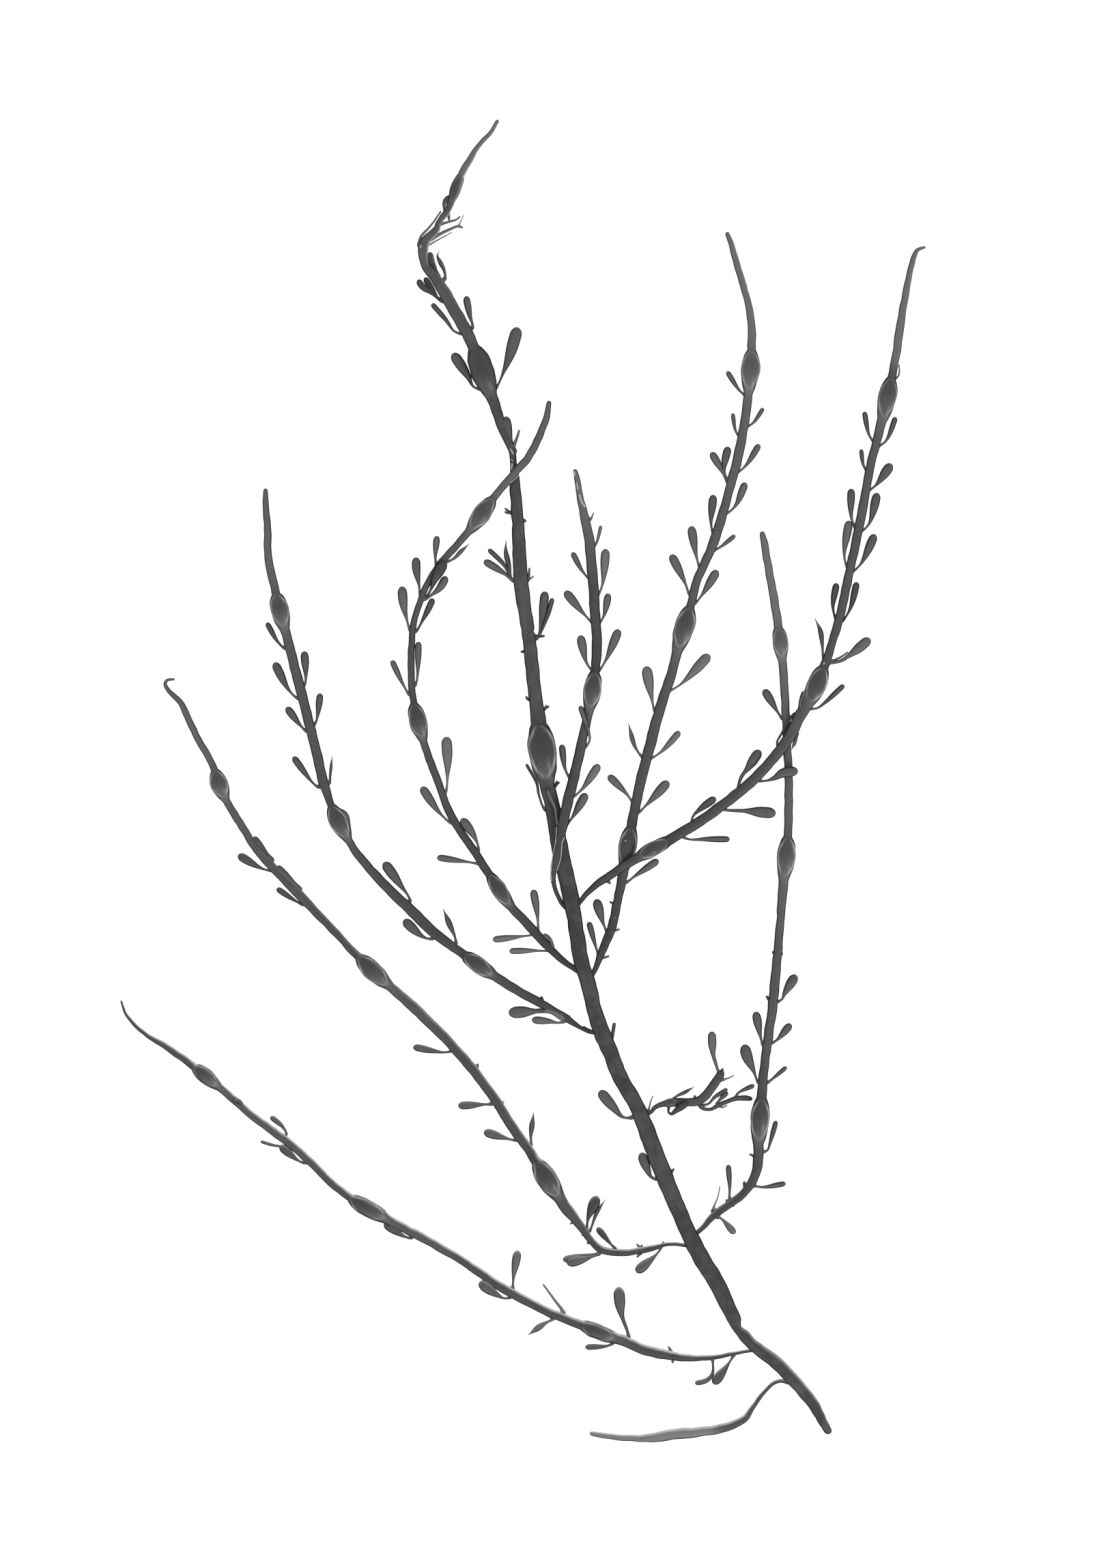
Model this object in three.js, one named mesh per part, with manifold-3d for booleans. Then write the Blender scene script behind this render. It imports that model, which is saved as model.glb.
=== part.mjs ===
// A frond of knotted wrack, lying flat as a gathered specimen does: one main stem with its
// air bladders, and ten branches that grow from it. Each branch carries its own bladders and
// its club-shaped receptacles, which are fused to the strap that they grow from.
// Millimetres, +Z up, the surface that the frond lies on is z = 0, and +Y runs to the tip.

import * as THREE from 'three';
import Module from 'manifold-3d';

const wasm = await Module();
wasm.setup();

// Driving dimensions.
const MARGINS = 0.4;
const STRAP_FLATNESS = 0.5;
const SKIN = 0.2;
const BLADDER_FLATNESS = 0.85;
const SECTION_FLAT_SHARE = 0.5;
const STALK_WIDTH = 0.9;
const HAIR_WIDTH = 1.5;
const ROOT_DEPTH = 0.85;
const SEAT_GAP = 0.3;
const ROOT_SETTLE = 22;
const LONGEST_STEP = 80;
const CHORD_ERROR_SHARE = 0.31;
const CHORD_ERROR = 1;
const CLEAR_STEP = 3;
const SETTLE_REACH = 1.5;
const SHOOT_SETTLE = 0.65;
const SEAT_WIDENING = 3;
const STRAP_SIDES = 6;
const SHOOT_SIDES = 4;
const DIVISIONS_PER_ROW = 40;
const SEARCH_STEP = 0.5;

// A bladder is blunt and short towards the tip, and longer and finer towards the root.
const SWELL_TIPWARD = 0.9;
const SWELL_ROOTWARD = 1.15;
const SWELL_BLUNT = 0.75;
const SWELL_FINE = 1.2;
const BLADDER_SECTIONS = [-0.85, -0.3, 0.3, 0.95];

// Sections of a receptacle: how far along it, and its width as a share of the blade's.
const CLUB_SECTIONS = [[0.74, 1], [1, 0.4]];
const CLUB_STALK_END = 0.42;
const HAIR_SECTIONS = [[0, 0.9], [1, 0.5]];
const SPUR_SECTIONS = [[0, 1], [1, 0.45]];

// Greys of the dried tissue, darker where it is thicker.
const STEM_GREY = 0x474747;
const STRAP_GREY = 0x525252;
const TISSUE_ROUGHNESS = 0.6;

// A receptacle: blade width, then x and y of each point from its root to its tip.
const blade = (width, ...points) => ({ width, points, rise: 0 });

// A receptacle that lies over another strap, with its tip raised by the given height.
const raisedBlade = (rise, width, ...points) => ({ width, points, rise });

// A short broken stalk: width, then its root and its end.
const spur = (width, ...points) => ({ width, points, rise: 0, broken: true });

// Route rows are x, y and width, from root to tip. Bladder rows are x, y, length and width.
// Hump rows are x, y, height and half length of a rise over another strap.
const MAIN_STEM = {
  name: 'main_stem',
  grey: STEM_GREY,
  route: [
    [134.4, -287.2, 2.6], [131.9, -283, 3.7], [126.4, -273, 4.8], [119.6, -265, 5.4], [110.4, -255.6, 5.6],
    [100.4, -247.8, 4.8], [94.5, -240.8, 4.8], [91.6, -235.6, 5.8], [84.4, -220.5, 6.8], [77.9, -210, 7.2],
    [72.7, -200, 6.8], [68.3, -190, 6.8], [59.9, -170, 7.3], [56.1, -160, 7.4], [47.9, -140, 6.3],
    [38.1, -120, 6.6], [34.1, -111, 7], [30.4, -100, 6.2], [25.1, -80, 6.4], [21.8, -60, 6.3],
    [20, -50, 7], [15.6, -30, 6.9], [12, -10, 6.3], [10, -2, 6.4], [6, 27, 6.3], [4.3, 40, 5.6],
    [2.3, 60, 5.6], [0.9, 70, 5.5], [-1.5, 86, 6.1], [-2.8, 110, 5.3], [-4.1, 128, 4.5], [-4.9, 140, 2.6],
    [-5.5, 145, 2.6], [-9.7, 155, 3.6], [-13.7, 167, 4.8], [-16.5, 174, 5.5], [-22.5, 191, 4.7],
    [-27, 200, 5], [-32.6, 210, 5.2], [-38.4, 220, 4.6], [-41.4, 223.6, 3.8], [-43.7, 226.6, 3],
    [-44.5, 230, 3.7], [-44.7, 234, 4.6], [-43.4, 237.6, 3.8], [-40.4, 240.8, 3], [-38.5, 243, 2.8],
    [-38.2, 245, 1.8], [-36.4, 247.6, 2.4], [-34.2, 250.4, 2.6], [-32.4, 254, 2.8], [-28.4, 265.4, 3],
    [-24.5, 272.6, 2.8], [-20.4, 279.3, 1.9], [-15, 285.2, 1.6], [-11.4, 290.8, 1.5],
  ],
  bladders: [[7.9, 13, 26, 12.5], [-19.2, 181.4, 22, 10.5], [-29.6, 261, 12, 5]],
  shoots: [
    blade(4.4, 57.5, -174.8, 55.6, -174, 53.6, -170, 51.2, -163.4),
    blade(4.7, 46.5, -148, 43, -147.4, 39.5, -143, 33.3, -136.3),
    blade(1.4, 9, -12.5, 6.2, -6, 5.3, -1, 0.6, 7.5),
    blade(4, 5.4, 62.9, 7.3, 70, 9, 83.4),
    blade(2.2, 5.4, 62.9, 9.6, 71.5, 12.3, 80.5),
    blade(3.4, -5.3, 88.3, -9, 91.3, -17.9, 96.9),
    blade(2.2, -5.3, 88.3, -9, 95, -16, 102),
    blade(1.8, -5.3, 88.3, -7.4, 96, -7.7, 105.8),
    blade(4, -4.2, 145, -6.1, 150, -8.5, 160.3),
    blade(5.4, -12.6, 172.8, -9, 180.5, -6.6, 187, -3, 199.5),
    blade(4.7, -20, 172.3, -22.6, 173.4, -25, 178, -31.6, 188.1),
    blade(3.2, -23, 199.4, -24.2, 205, -25.8, 213.3),
    blade(2.4, -28, 196.8, -31, 197.8, -34.5, 202.6, -40.9, 210),
    blade(3, -36.4, 211, -41.1, 214.9, -45, 217.5, -47, 220.5),
    blade(2.8, -37.4, 211.8, -40.3, 215.7, -42.5, 219.1, -44, 221.4),
    blade(3.4, -37.7, 221.8, -39.4, 225.4, -41.2, 229, -41.7, 232.6),
    blade(2.1, -35.1, 221, -35.3, 224.3, -36.9, 227.8, -38.4, 231.2, -37.4, 233.2),
    blade(1.4, -40.4, 239.8, -36.4, 241, -31.9, 243.1, -27, 243.4),
    blade(2.2, -35, 250, -35.5, 253.4, -34.4, 256, -32.2, 258.4),
    spur(1.6, 38, -113, 39.6, -106.2),
    spur(1.2, 5, 63.4, 9, 63.8),
  ],
};

const BRANCHES = [
  {
    name: 'lowest_bare_branch',
    route: [
      [116, -264.4, 1.5], [112, -263.7, 1.4], [109, -265, 1.4], [104.7, -269.4, 1.5],
      [100.8, -274.7, 1.7], [97.1, -280, 2.8], [90.2, -283.7, 3.6], [76, -286.3, 3.9],
      [62, -287.8, 4.4], [56, -288.7, 3.9], [50, -289.1, 2.6], [38, -288.3, 2.3], [28.6, -286.8, 1.9],
    ],
  },
  {
    name: 'low_left_branch',
    route: [
      [101.5, -250, 1.1], [95, -251.1, 1.2], [84, -253.2, 1.8], [76, -253.8, 2.4], [68, -253.3, 3.4],
      [60, -251.8, 4.3], [52, -249.8, 4.2], [44, -246.2, 4.4], [38, -244.2, 4.6], [25, -239.1, 3.9],
      [10, -233.3, 3.6], [-10, -222.5, 3.8], [-30, -209.4, 3.2], [-40, -203.5, 3.5],
      [-60, -192.8, 4], [-80, -180.8, 3.2], [-100, -162.2, 3.4], [-120, -146.9, 3.2],
      [-134.2, -134.6, 3.2], [-146.2, -124.9, 3.2], [-160, -115.4, 2.4], [-166, -111.8, 1.7],
      [-173, -105.6, 1.3], [-176, -101.6, 0.9], [-177.5, -96.3, 0.5],
    ],
    bladders: [[31.8, -241.2, 16, 6.8], [-69.3, -187.6, 19, 7.6], [-139.8, -129.4, 14, 6.8]],
    shoots: [
      blade(4.4, 91.8, -252.6, 89.8, -256, 83, -265.2),
      blade(2.4, 82.7, -254.4, 82.6, -260.6, 80, -263.6, 74.9, -264.9),
      blade(5, 45.6, -244, 42.5, -234, 41.3, -222.4),
      blade(2.6, 38.5, -247.2, 36, -248.4, 26.6, -249),
      blade(2.9, 12.2, -236.6, 8.5, -238.7, 1.4, -243.7),
      blade(3.8, -5.3, -222.8, -4.9, -218, -3, -206.4),
      blade(4.8, -6.5, -227, -9, -227.4, -12, -226, -20, -220.3),
      blade(4, -50, -200.8, -53, -200.2, -61.8, -194.4),
      blade(2.5, -105.3, -156, -104.8, -155, -106.5, -152, -111.8, -147.5),
      blade(3.8, -96.8, -167.8, -99, -167.2, -107.7, -160.4),
      blade(1.5, -104, -160.5, -110, -160.3, -116.3, -158.5),
      raisedBlade(2, 2, -125.6, -143.4, -127.4, -140.6, -126, -140.4, -124.2, -142),
    ],
  },
  {
    name: 'second_left_branch',
    route: [
      [74, -204.6, 1.5], [68, -203.8, 1.2], [64, -203.6, 1.2], [60, -204.3, 1.5], [55, -205.6, 2.5],
      [44, -207.4, 2.8], [38, -207, 3], [32.8, -205.5, 3], [28.9, -201.8, 2.8], [26.1, -198, 3.2],
      [21.7, -192.1, 4], [17.7, -187.7, 4.7], [2.7, -163.5, 3.9], [-6.8, -150, 4.1],
      [-12.8, -140.1, 4], [-28.3, -120.3, 4], [-47.8, -100.4, 4.3], [-59.2, -90.4, 3.8],
      [-75.2, -75.2, 3.2], [-79.7, -70.4, 2.9], [-89.8, -59.7, 3.3], [-100, -49, 4], [-110, -38.8, 3.4],
      [-117.4, -30.7, 3.2], [-123.6, -21.1, 3], [-130.8, -9.3, 3], [-138.3, 9, 2.8],
      [-144.4, 19.8, 2.6], [-148.9, 29.7, 2.7], [-151.4, 34.6, 2.3], [-156.7, 39.9, 1.7],
      [-158.2, 42.6, 1.2], [-157.5, 44.3, 1], [-153.9, 44.7, 0.6],
    ],
    bladders: [[10.3, -175, 21, 9.2], [-67, -83, 19, 8.3], [-134.6, -1.1, 14, 7.7]],
    shoots: [
      blade(4.5, 60, -204.8, 58.6, -207.4, 49, -216),
      blade(3, 39.6, -205.4, 38, -203.7, 31.9, -196.4),
      blade(4.6, 32.5, -208, 28, -209.6, 18.4, -212),
      blade(3.2, 32.8, -207.4, 27, -208.6, 16.8, -210.6),
      blade(4.9, 27, -196.8, 28, -192, 32, -182.5),
      blade(1.8, 28.5, -197.8, 31.6, -190.2, 35.6, -183.8),
      blade(2.5, 2.7, -159.8, 2.7, -156, 4, -145.6),
      blade(4, -4.2, -157.8, -8.5, -157, -18, -154.2),
      blade(3.6, -15, -142, -18, -142.2, -29.3, -142.8),
      blade(3.2, -32.2, -118.6, -35, -119.3, -39, -118.9, -49.1, -116.9),
      blade(2.7, -97.5, -54.3, -101, -52.6, -109.1, -47.2),
      blade(3.8, -111.5, -39.3, -115.5, -38.5, -126.1, -32.5),
      blade(2.6, -111, -34.5, -113.7, -31.4, -119.2, -24.5),
      blade(2.4, -98.7, -47.4, -102, -43.9, -108.8, -37.3),
    ],
  },
  {
    name: 'low_right_branch',
    route: [
      [73.8, -200.2, 1.5], [79, -195.5, 2], [83, -191.2, 2.9], [92, -184.8, 3.2], [96, -181.4, 3.2],
      [99.5, -177, 3.6], [101.8, -172, 3.9], [102.7, -166, 4.1], [102.8, -158.5, 4.3],
      [104.1, -139, 4], [106.1, -120, 3.6], [108.9, -100, 4], [110.9, -80, 3.8], [112.6, -60, 3.3],
      [114.1, -42, 4], [115.8, -22, 3.4], [116.1, 0, 3.3], [115.3, 20, 3.2], [113.5, 51, 3.3],
      [111.1, 71, 3.5], [107.9, 90, 3.2], [105.3, 105, 2.9], [104.4, 109.9, 1.9],
    ],
    bladders: [[103.2, -148.8, 20, 8.4], [115, -33, 19, 8.1], [112, 61.2, 14, 7]],
    shoots: [
      blade(3.1, 85, -191.5, 86.8, -192.7, 92.6, -199.1),
      blade(2.5, 90.3, -184, 90.2, -178, 89.6, -168.7),
      blade(2.5, 101, -178, 105, -178.6, 114.9, -177),
      blade(2.3, 105, -163, 106.8, -162.3, 108, -159, 110.7, -149.4),
      blade(2, 106.8, -132.5, 109, -131, 115.3, -125.7),
      blade(5, 102.9, -132.6, 100.6, -127.2, 97.8, -121, 96.6, -115.8),
      blade(3.9, 104.9, -116, 104, -113.5, 101.6, -101.4),
      blade(3.5, 108.8, -115, 110.8, -114, 117.2, -106.8),
      blade(4.4, 111.2, -97, 113.3, -95.8, 114.3, -93.5, 119.4, -85.2),
      blade(3.8, 113.3, 27.6, 111.5, 30, 108.5, 35, 105.2, 40.3),
      spur(1.5, 97.2, -179.6, 96.5, -176),
      spur(1.2, 108.4, -97.4, 106.2, -94.4),
    ],
  },
  {
    name: 'broken_right_branch',
    route: [
      [52, -147.8, 1.4], [55.5, -145.4, 1.3], [57, -143.6, 1.6], [60, -142.1, 2], [63, -141.6, 2.9],
      [66, -141.3, 3.3], [72, -141.2, 3.3], [76.5, -140.6, 3.4], [79.4, -138.4, 3.5], [83.5, -133, 3.5],
      [85.8, -129.6, 3.4], [86.7, -127, 2.8],
    ],
    bladders: [[64.6, -141.4, 4.4, 4]],
    shoots: [
      blade(3.8, 85.6, -128.4, 84, -124, 82.9, -120, 82.3, -110.1),
      blade(1.7, 64.9, -140.4, 66.9, -138.5, 69.9, -137.2, 74.8, -134.4),
      raisedBlade(2, 3.2, 63.4, -143, 63.2, -145.4, 64.4, -146.3, 67, -144.4, 71.8, -141.1),
    ],
    twig: {
      route: [
        [76.5, -140.8, 1.8], [77.5, -143.2, 1.5], [78.8, -144.2, 1.2], [82, -144.3, 1],
        [84.8, -142.8, 1.7], [87.8, -141.4, 1.5], [92.1, -139.8, 1.7], [95.1, -139.4, 1.8],
        [98.2, -139.4, 2.5], [100.3, -139.9, 0.8],
      ],
      shoots: [
        blade(1.9, 78.2, -142.9, 81, -141.9, 83.6, -139.1, 89.3, -135.4),
        blade(2.2, 84.6, -142.2, 86.4, -139.6, 89.4, -136.8),
        blade(2.1, 93, -139.2, 93.6, -137.6, 95, -136.5, 101.1, -133.8),
      ],
    },
  },
  {
    name: 'third_left_branch',
    route: [
      [32.5, -111.2, 1.6], [28, -110, 1.4], [25, -108.7, 1.4], [22, -106.7, 1.9], [19.2, -104.8, 3],
      [16.6, -103, 2.8], [12, -100.4, 2.4], [7.6, -98, 3.4], [-3, -92.3, 3.7],
      [-13.5, -85.5, 3.8], [-29, -74.8, 3.6], [-40, -66.4, 4.3],
      [-50, -56.8, 4.4], [-60, -47.4, 3.9], [-70, -36.5, 3.5], [-74.8, -30.4, 3.2], [-78, -24.9, 3],
      [-85.4, -10, 2.7], [-87, -5, 3.4], [-88.8, 0, 4.1], [-90.9, 10, 4.1], [-96, 30, 4.1],
      [-101.2, 50, 4], [-105.5, 67, 3.8], [-110, 85, 3.4], [-112.7, 97, 3.2], [-113.2, 112, 2.9],
      [-114.1, 124, 2.2], [-114.1, 128.8, 1.4],
    ],
    bladders: [[-20.3, -80.9, 16, 7.3], [-82.2, -17.6, 17, 8.2], [-107.6, 74.8, 16, 8.2]],
    shoots: [
      blade(5.2, 14, -102.4, 10, -101, 5, -101.2, -7.1, -101.9),
      blade(3.4, 17, -105.8, 14.5, -106.3, 11, -105.7, 3.1, -105),
      blade(1.9, -30.3, -71.2, -30.5, -68.5, -32, -64, -35.7, -56.4),
      blade(4.4, -40.8, -69.3, -44.5, -68.6, -53.3, -61.1),
      blade(4.6, -50.5, -52.7, -51.2, -50.5, -54.3, -46.2, -61.9, -35.7),
      blade(3.1, -90.8, -2.5, -93, -1, -101.9, 10.7),
      blade(1.4, -86, -0.7, -85.5, 3, -84.7, 11.5),
      blade(3.5, -96.4, 21.6, -99.2, 23.6, -105.3, 32.1),
      blade(3.1, -92.6, 25, -91.6, 26.6, -89.9, 38.6),
      blade(4, -100, 36.6, -103.5, 39.7, -110.1, 52.1),
      blade(3.6, -97.3, 41.8, -96.4, 43.6, -96.9, 57.1),
      blade(2.5, -105.7, 58.6, -108.6, 61.2, -113.5, 69.7),
    ],
  },
  {
    name: 'fourth_left_branch',
    route: [
      [25, -84.4, 2.1], [19, -80.5, 2.3], [15, -77.5, 2.7], [8, -70.2, 3.7], [0.3, -61.9, 3.6],
      [-5.9, -55.3, 3.4], [-16.3, -40, 3.3], [-22.6, -30.3, 3.3], [-29.4, -20.2, 3.2],
      [-33.7, -12.2, 3.2], [-38.3, 0, 3], [-44.1, 16, 3], [-48.8, 35, 2.7], [-50, 47, 2.7],
      [-49.3, 66, 2.5], [-48.1, 72.3, 2.4], [-43, 86.3, 2.4], [-37.7, 94.8, 2.7], [-28.9, 104.8, 2.8],
      [-24.5, 109.8, 3], [-12.9, 125.2, 3], [-3.8, 136.1, 3], [0.6, 140.7, 3.1], [3.4, 145.3, 3.1],
      [8.7, 157, 2.7], [10, 162, 2.4], [10.9, 167.4, 1.7],
    ],
    bladders: [[-11.2, -47.4, 17, 6.8], [-47, 26.6, 17, 8], [-18.7, 117.4, 18, 7.9]],
    humps: [[-3.5, 136, 2.6, 21]],
    shoots: [
      blade(3.5, 5.7, -65.5, 5.7, -60, 3.8, -47.7),
      blade(3, 4, -67.4, -2, -68.4, -14.1, -69.8),
      blade(2.8, 11, -74.6, 4, -74.6, -6.8, -74.8),
      raisedBlade(1.6, 2.2, 12.2, -72.4, 11.4, -70, 8.2, -67.3),
      blade(3, -20.6, -36.2, -25, -35.6, -38.6, -33.6),
      blade(4.2, -20.4, -30.4, -20.6, -28, -22.4, -24, -27.8, -16.5),
      blade(4, -32.4, -17, -36.3, -13.4, -45.3, -2.5),
      blade(4.8, -34.9, -5, -33.9, 5, -34.4, 19.5),
      blade(2.7, -50.8, 38.2, -53.5, 42.5, -58.5, 53.1),
      blade(3, -48.4, 42, -47.4, 44.5, -46.7, 61.3),
      blade(4.3, -50.2, 66, -52.1, 72, -53.3, 77.7, -54, 85.6),
      blade(2.9, -47.8, 66, -44.6, 71.3, -42.4, 75.6, -40.2, 80.3),
      blade(3.9, -45.8, 81.6, -46.5, 86.3, -47.6, 92.7, -47.8, 98.4),
      blade(3.6, -44, 80, -40.3, 82.3, -37.3, 85, -34.3, 90),
      raisedBlade(1.7, 4.8, -43.4, 81, -41.1, 84.6, -39.4, 88.9, -37.3, 92.7, -35, 96.7),
      blade(1.9, -34.6, 96.4, -31.2, 97.8, -28.2, 100.8, -24.2, 104.5),
      blade(3, -38.8, 94.8, -39.3, 98, -38.6, 107.8),
    ],
  },
  {
    name: 'mid_right_branch',
    route: [
      [28, -88.4, 1.4], [32.2, -80, 2.2], [33.9, -75, 3.2], [37.8, -66, 3.7], [41.4, -50, 3.4],
      [43, -42, 3.9], [47.2, -18.6, 4], [51.1, 0, 4.2], [56, 19, 4.5], [59, 30, 4.3], [65.4, 50, 3.9],
      [67.1, 57, 4.1], [73.1, 77.6, 3.5], [76.3, 89.5, 3.4], [80, 97.5, 3.6], [84.6, 109, 4],
      [89.4, 126, 3.5], [93.3, 140, 3.9], [97.1, 160, 3.7], [98.4, 171, 3.5], [99.8, 191, 3.5],
      [99.9, 200, 3.1], [98.1, 210.5, 2.8], [92.7, 230, 2.5], [90.7, 237, 2.3], [88.9, 241.6, 1.4],
    ],
    bladders: [[45.2, -28.8, 19, 8], [70, 67.4, 20, 8.9], [99, 181.2, 19, 8.3]],
    shoots: [
      blade(2.7, 32.8, -77.7, 31.6, -74, 28.2, -61.9),
      blade(4.3, 36.4, -66.8, 34.7, -63, 31.4, -51.9),
      blade(3.3, 44.8, -44.4, 48.5, -41.8, 58.9, -34.7),
      blade(3.5, 47.8, -9.4, 44.7, -5.5, 36.8, 2.5),
      blade(4.3, 50.2, -13.6, 53.5, -10.6, 63.3, -0.1),
      blade(2.2, 51.6, 10.8, 48.6, 15, 45.6, 25.6),
      blade(3, 55.6, 10.2, 60, 12.8, 68.3, 21.8),
      blade(4.8, 57.4, 30.6, 55.6, 38, 53.4, 50.5),
      blade(4.6, 64, 40, 67, 41.4, 70.5, 44.2, 81.3, 55.6),
      blade(4, 72.6, 82.2, 70.4, 87.5, 64.4, 99.6),
      blade(4, 74.8, 78.2, 78, 81.8, 84.8, 92.7),
      blade(4, 77.2, 93.6, 75.5, 99, 73.2, 112.1),
      blade(2.1, 83.2, 101.4, 86.5, 103.2, 92.7, 108.1),
      blade(3.7, 83, 109, 82, 113, 83, 125.9),
      blade(3.4, 88.8, 117.8, 92.6, 120.9, 97.2, 131.3),
      blade(3.5, 89.2, 131.6, 87, 136, 82.1, 144.6),
      blade(3.6, 89.2, 132.6, 87.7, 137, 89.5, 147.1),
      blade(2.9, 93.2, 135.6, 97, 138.4, 103.3, 148.1),
      blade(1.9, 94.6, 151.4, 92.8, 154, 91.5, 161.8),
      blade(2, 97.4, 155.6, 100.5, 157.5, 105.1, 164.1),
      blade(2.4, 97.2, 169.4, 94.6, 171.6, 89, 180.2),
    ],
  },
  {
    name: 'upper_right_branch',
    route: [
      [22, -56, 1.7], [27.2, -49.4, 2], [30.8, -46, 2.6], [35.3, -42.8, 3.2], [45.2, -36.2, 3.6],
      [50.2, -33.2, 3.9], [63.3, -26, 4.3], [79.8, -15.9, 4.2], [99.6, -0.3, 4.3], [109.4, 10.2, 4.2],
      [121.3, 29.2, 4.7], [124.1, 33.9, 4.8], [132.5, 52, 3.6], [134.9, 60, 3.2], [138, 70, 3.7],
      [142.5, 90, 3.5], [146.7, 110, 3.8], [152.5, 140, 3.4], [157.2, 159, 3.9], [161.8, 179.4, 3.2],
      [163.8, 190, 3.5], [165.3, 201, 3.2], [168.7, 220, 2.6], [171.2, 230, 2.1], [172.7, 233.4, 1.4],
      [176.6, 234.9, 0.6],
    ],
    bladders: [[56.7, -29.7, 15, 6.6], [128.3, 42.4, 18, 8.8], [159.4, 168.6, 19, 8.1]],
    humps: [[44, -36, 5.9, 27], [115.6, 19.5, 2.7, 31]],
    shoots: [
      blade(2.6, 70, -24, 78, -25.4, 90.5, -25.4),
      blade(3.4, 73.8, -18.8, 74.3, -15.9, 77, -13.2, 84.3, -7.7),
      blade(4.9, 87.6, -12.4, 98, -13.2, 110.5, -14.2),
      blade(4.4, 94.6, -3, 96.2, 2, 103.7, 13.5),
      raisedBlade(2.4, 4.6, 103.4, 0.2, 106.5, 0.2, 110, 1.5, 113.2, 3.4, 120.1, 4.6),
      raisedBlade(2.4, 1.4, 111.6, 14.2, 110.9, 17, 113, 21, 117.5, 28.5, 119.6, 30.2),
      blade(1.7, 120.6, 30.6, 121.3, 35, 122.8, 39.5),
      blade(2.4, 125.2, 31.8, 128.5, 32, 131.5, 34, 140.6, 42.3),
      blade(2.1, 131.8, 54, 130.4, 60, 128, 71.5),
      blade(4.3, 134, 52, 139, 52.6, 143, 55, 151.8, 62.1),
      blade(3.1, 136.8, 71.8, 135.6, 76.5, 137.2, 87.1),
      blade(3.1, 139.4, 70.4, 142.6, 75, 146, 87.5),
      blade(3.8, 142, 94, 140.6, 99, 142.7, 114.5),
      blade(4, 144, 92, 147.8, 95.4, 154.1, 108.5),
      blade(3.5, 145.4, 111.6, 143.8, 115.5, 143.6, 128.6),
      blade(4, 147.8, 109.8, 151.3, 112.8, 155.2, 126.7),
      blade(4.4, 151, 127.6, 154.2, 129.8, 161.4, 139.5),
      blade(2, 150.8, 136, 149, 139, 148, 146),
      blade(2.5, 155.2, 147, 159, 149.7, 163.3, 160.1),
      blade(2.4, 153.8, 148.8, 151.6, 152, 149.4, 162.5),
    ],
  },
  {
    name: 'upper_inner_branch',
    route: [
      [19.8, -57, 1.8], [16.6, -54, 1.6], [12.9, -46, 1.6], [12.4, -42, 2], [13.2, -37, 3],
      [14, -33.5, 3.6], [15.1, -27, 3], [16.6, -20, 4.2], [18.7, -10, 4.3], [23.7, 10, 4], [26.9, 25, 3.7],
      [28.3, 31, 4], [31, 48.6, 3.7], [31.7, 60, 4.1], [31, 74, 4.2], [28.6, 104, 4.2], [26.4, 116, 3.7],
      [24.1, 126, 2.6], [22.9, 134, 2.1], [22, 137.3, 1.2],
    ],
    bladders: [[29.8, 40.4, 17, 7.9]],
    humps: [[14.7, -24.5, 4.6, 31]],
    shoots: [
      raisedBlade(4.7, 1.8, 14.6, -18.8, 13.4, -12, 9.9, -3.9),
      blade(3, 19.6, 2, 17.9, 5, 16.3, 16.1),
      blade(3.8, 21.4, -6.6, 25, -3.8, 32.8, 7.3),
      blade(4, 18, -19.6, 20.8, -16.2, 27.2, -5.4),
      raisedBlade(2.4, 2.4, 26.6, 15, 28.6, 18, 28, 22, 24.3, 33.1),
      blade(4, 29.8, 48.6, 27.4, 51.6, 24.4, 64.1),
      blade(4, 32.6, 48.6, 35.5, 52.8, 41.5, 66.7),
      blade(4, 29.6, 70, 26.2, 73.3, 17.7, 83.5),
      blade(3.3, 32.8, 69.6, 34.8, 72.6, 36.9, 82.5),
      blade(4, 32, 81.6, 34.1, 86, 35.7, 102.1),
      blade(2.6, 28.6, 89, 25.6, 92, 20.9, 100.6),
      blade(1.8, 30.2, 103.2, 32.2, 106, 33.8, 112.6),
    ],
  },
];

const strapThickness = (width) => SKIN + STRAP_FLATNESS * width;

// The swelling of a bladder, from 1 at its middle to 0 at its ends, which are at -1 and 1.
const swell = (share) => Math.max(0, 1 - share ** 2) ** (share > 0 ? SWELL_BLUNT : SWELL_FINE);

// How far a bladder of a given length reaches, towards the tip or towards the root.
const swellReach = (length, side) => (length / 2) * (side > 0 ? SWELL_TIPWARD : SWELL_ROOTWARD);

// The gentle rise of a strap towards the middle height of a bladder.
const settle = (share) => Math.max(0, 1 - share ** 2) ** 2;

// The flat-topped rise of a strap that passes over another.
const arch = (share) => Math.max(0, 1 - share ** 4) ** 2;

// A flat-topped six-sided section of a strap, or a keeled four-sided one of a receptacle.
function sectionOutline(width, thickness, sides) {
  if (sides === SHOOT_SIDES) {
    return [[width / 2, 0], [0, thickness / 2], [-width / 2, 0], [0, -thickness / 2]];
  }
  const flat = (SECTION_FLAT_SHARE * width) / 2;
  return [
    [width / 2, 0], [flat, thickness / 2], [-flat, thickness / 2],
    [-width / 2, 0], [-flat, -thickness / 2], [flat, -thickness / 2],
  ];
}

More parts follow.
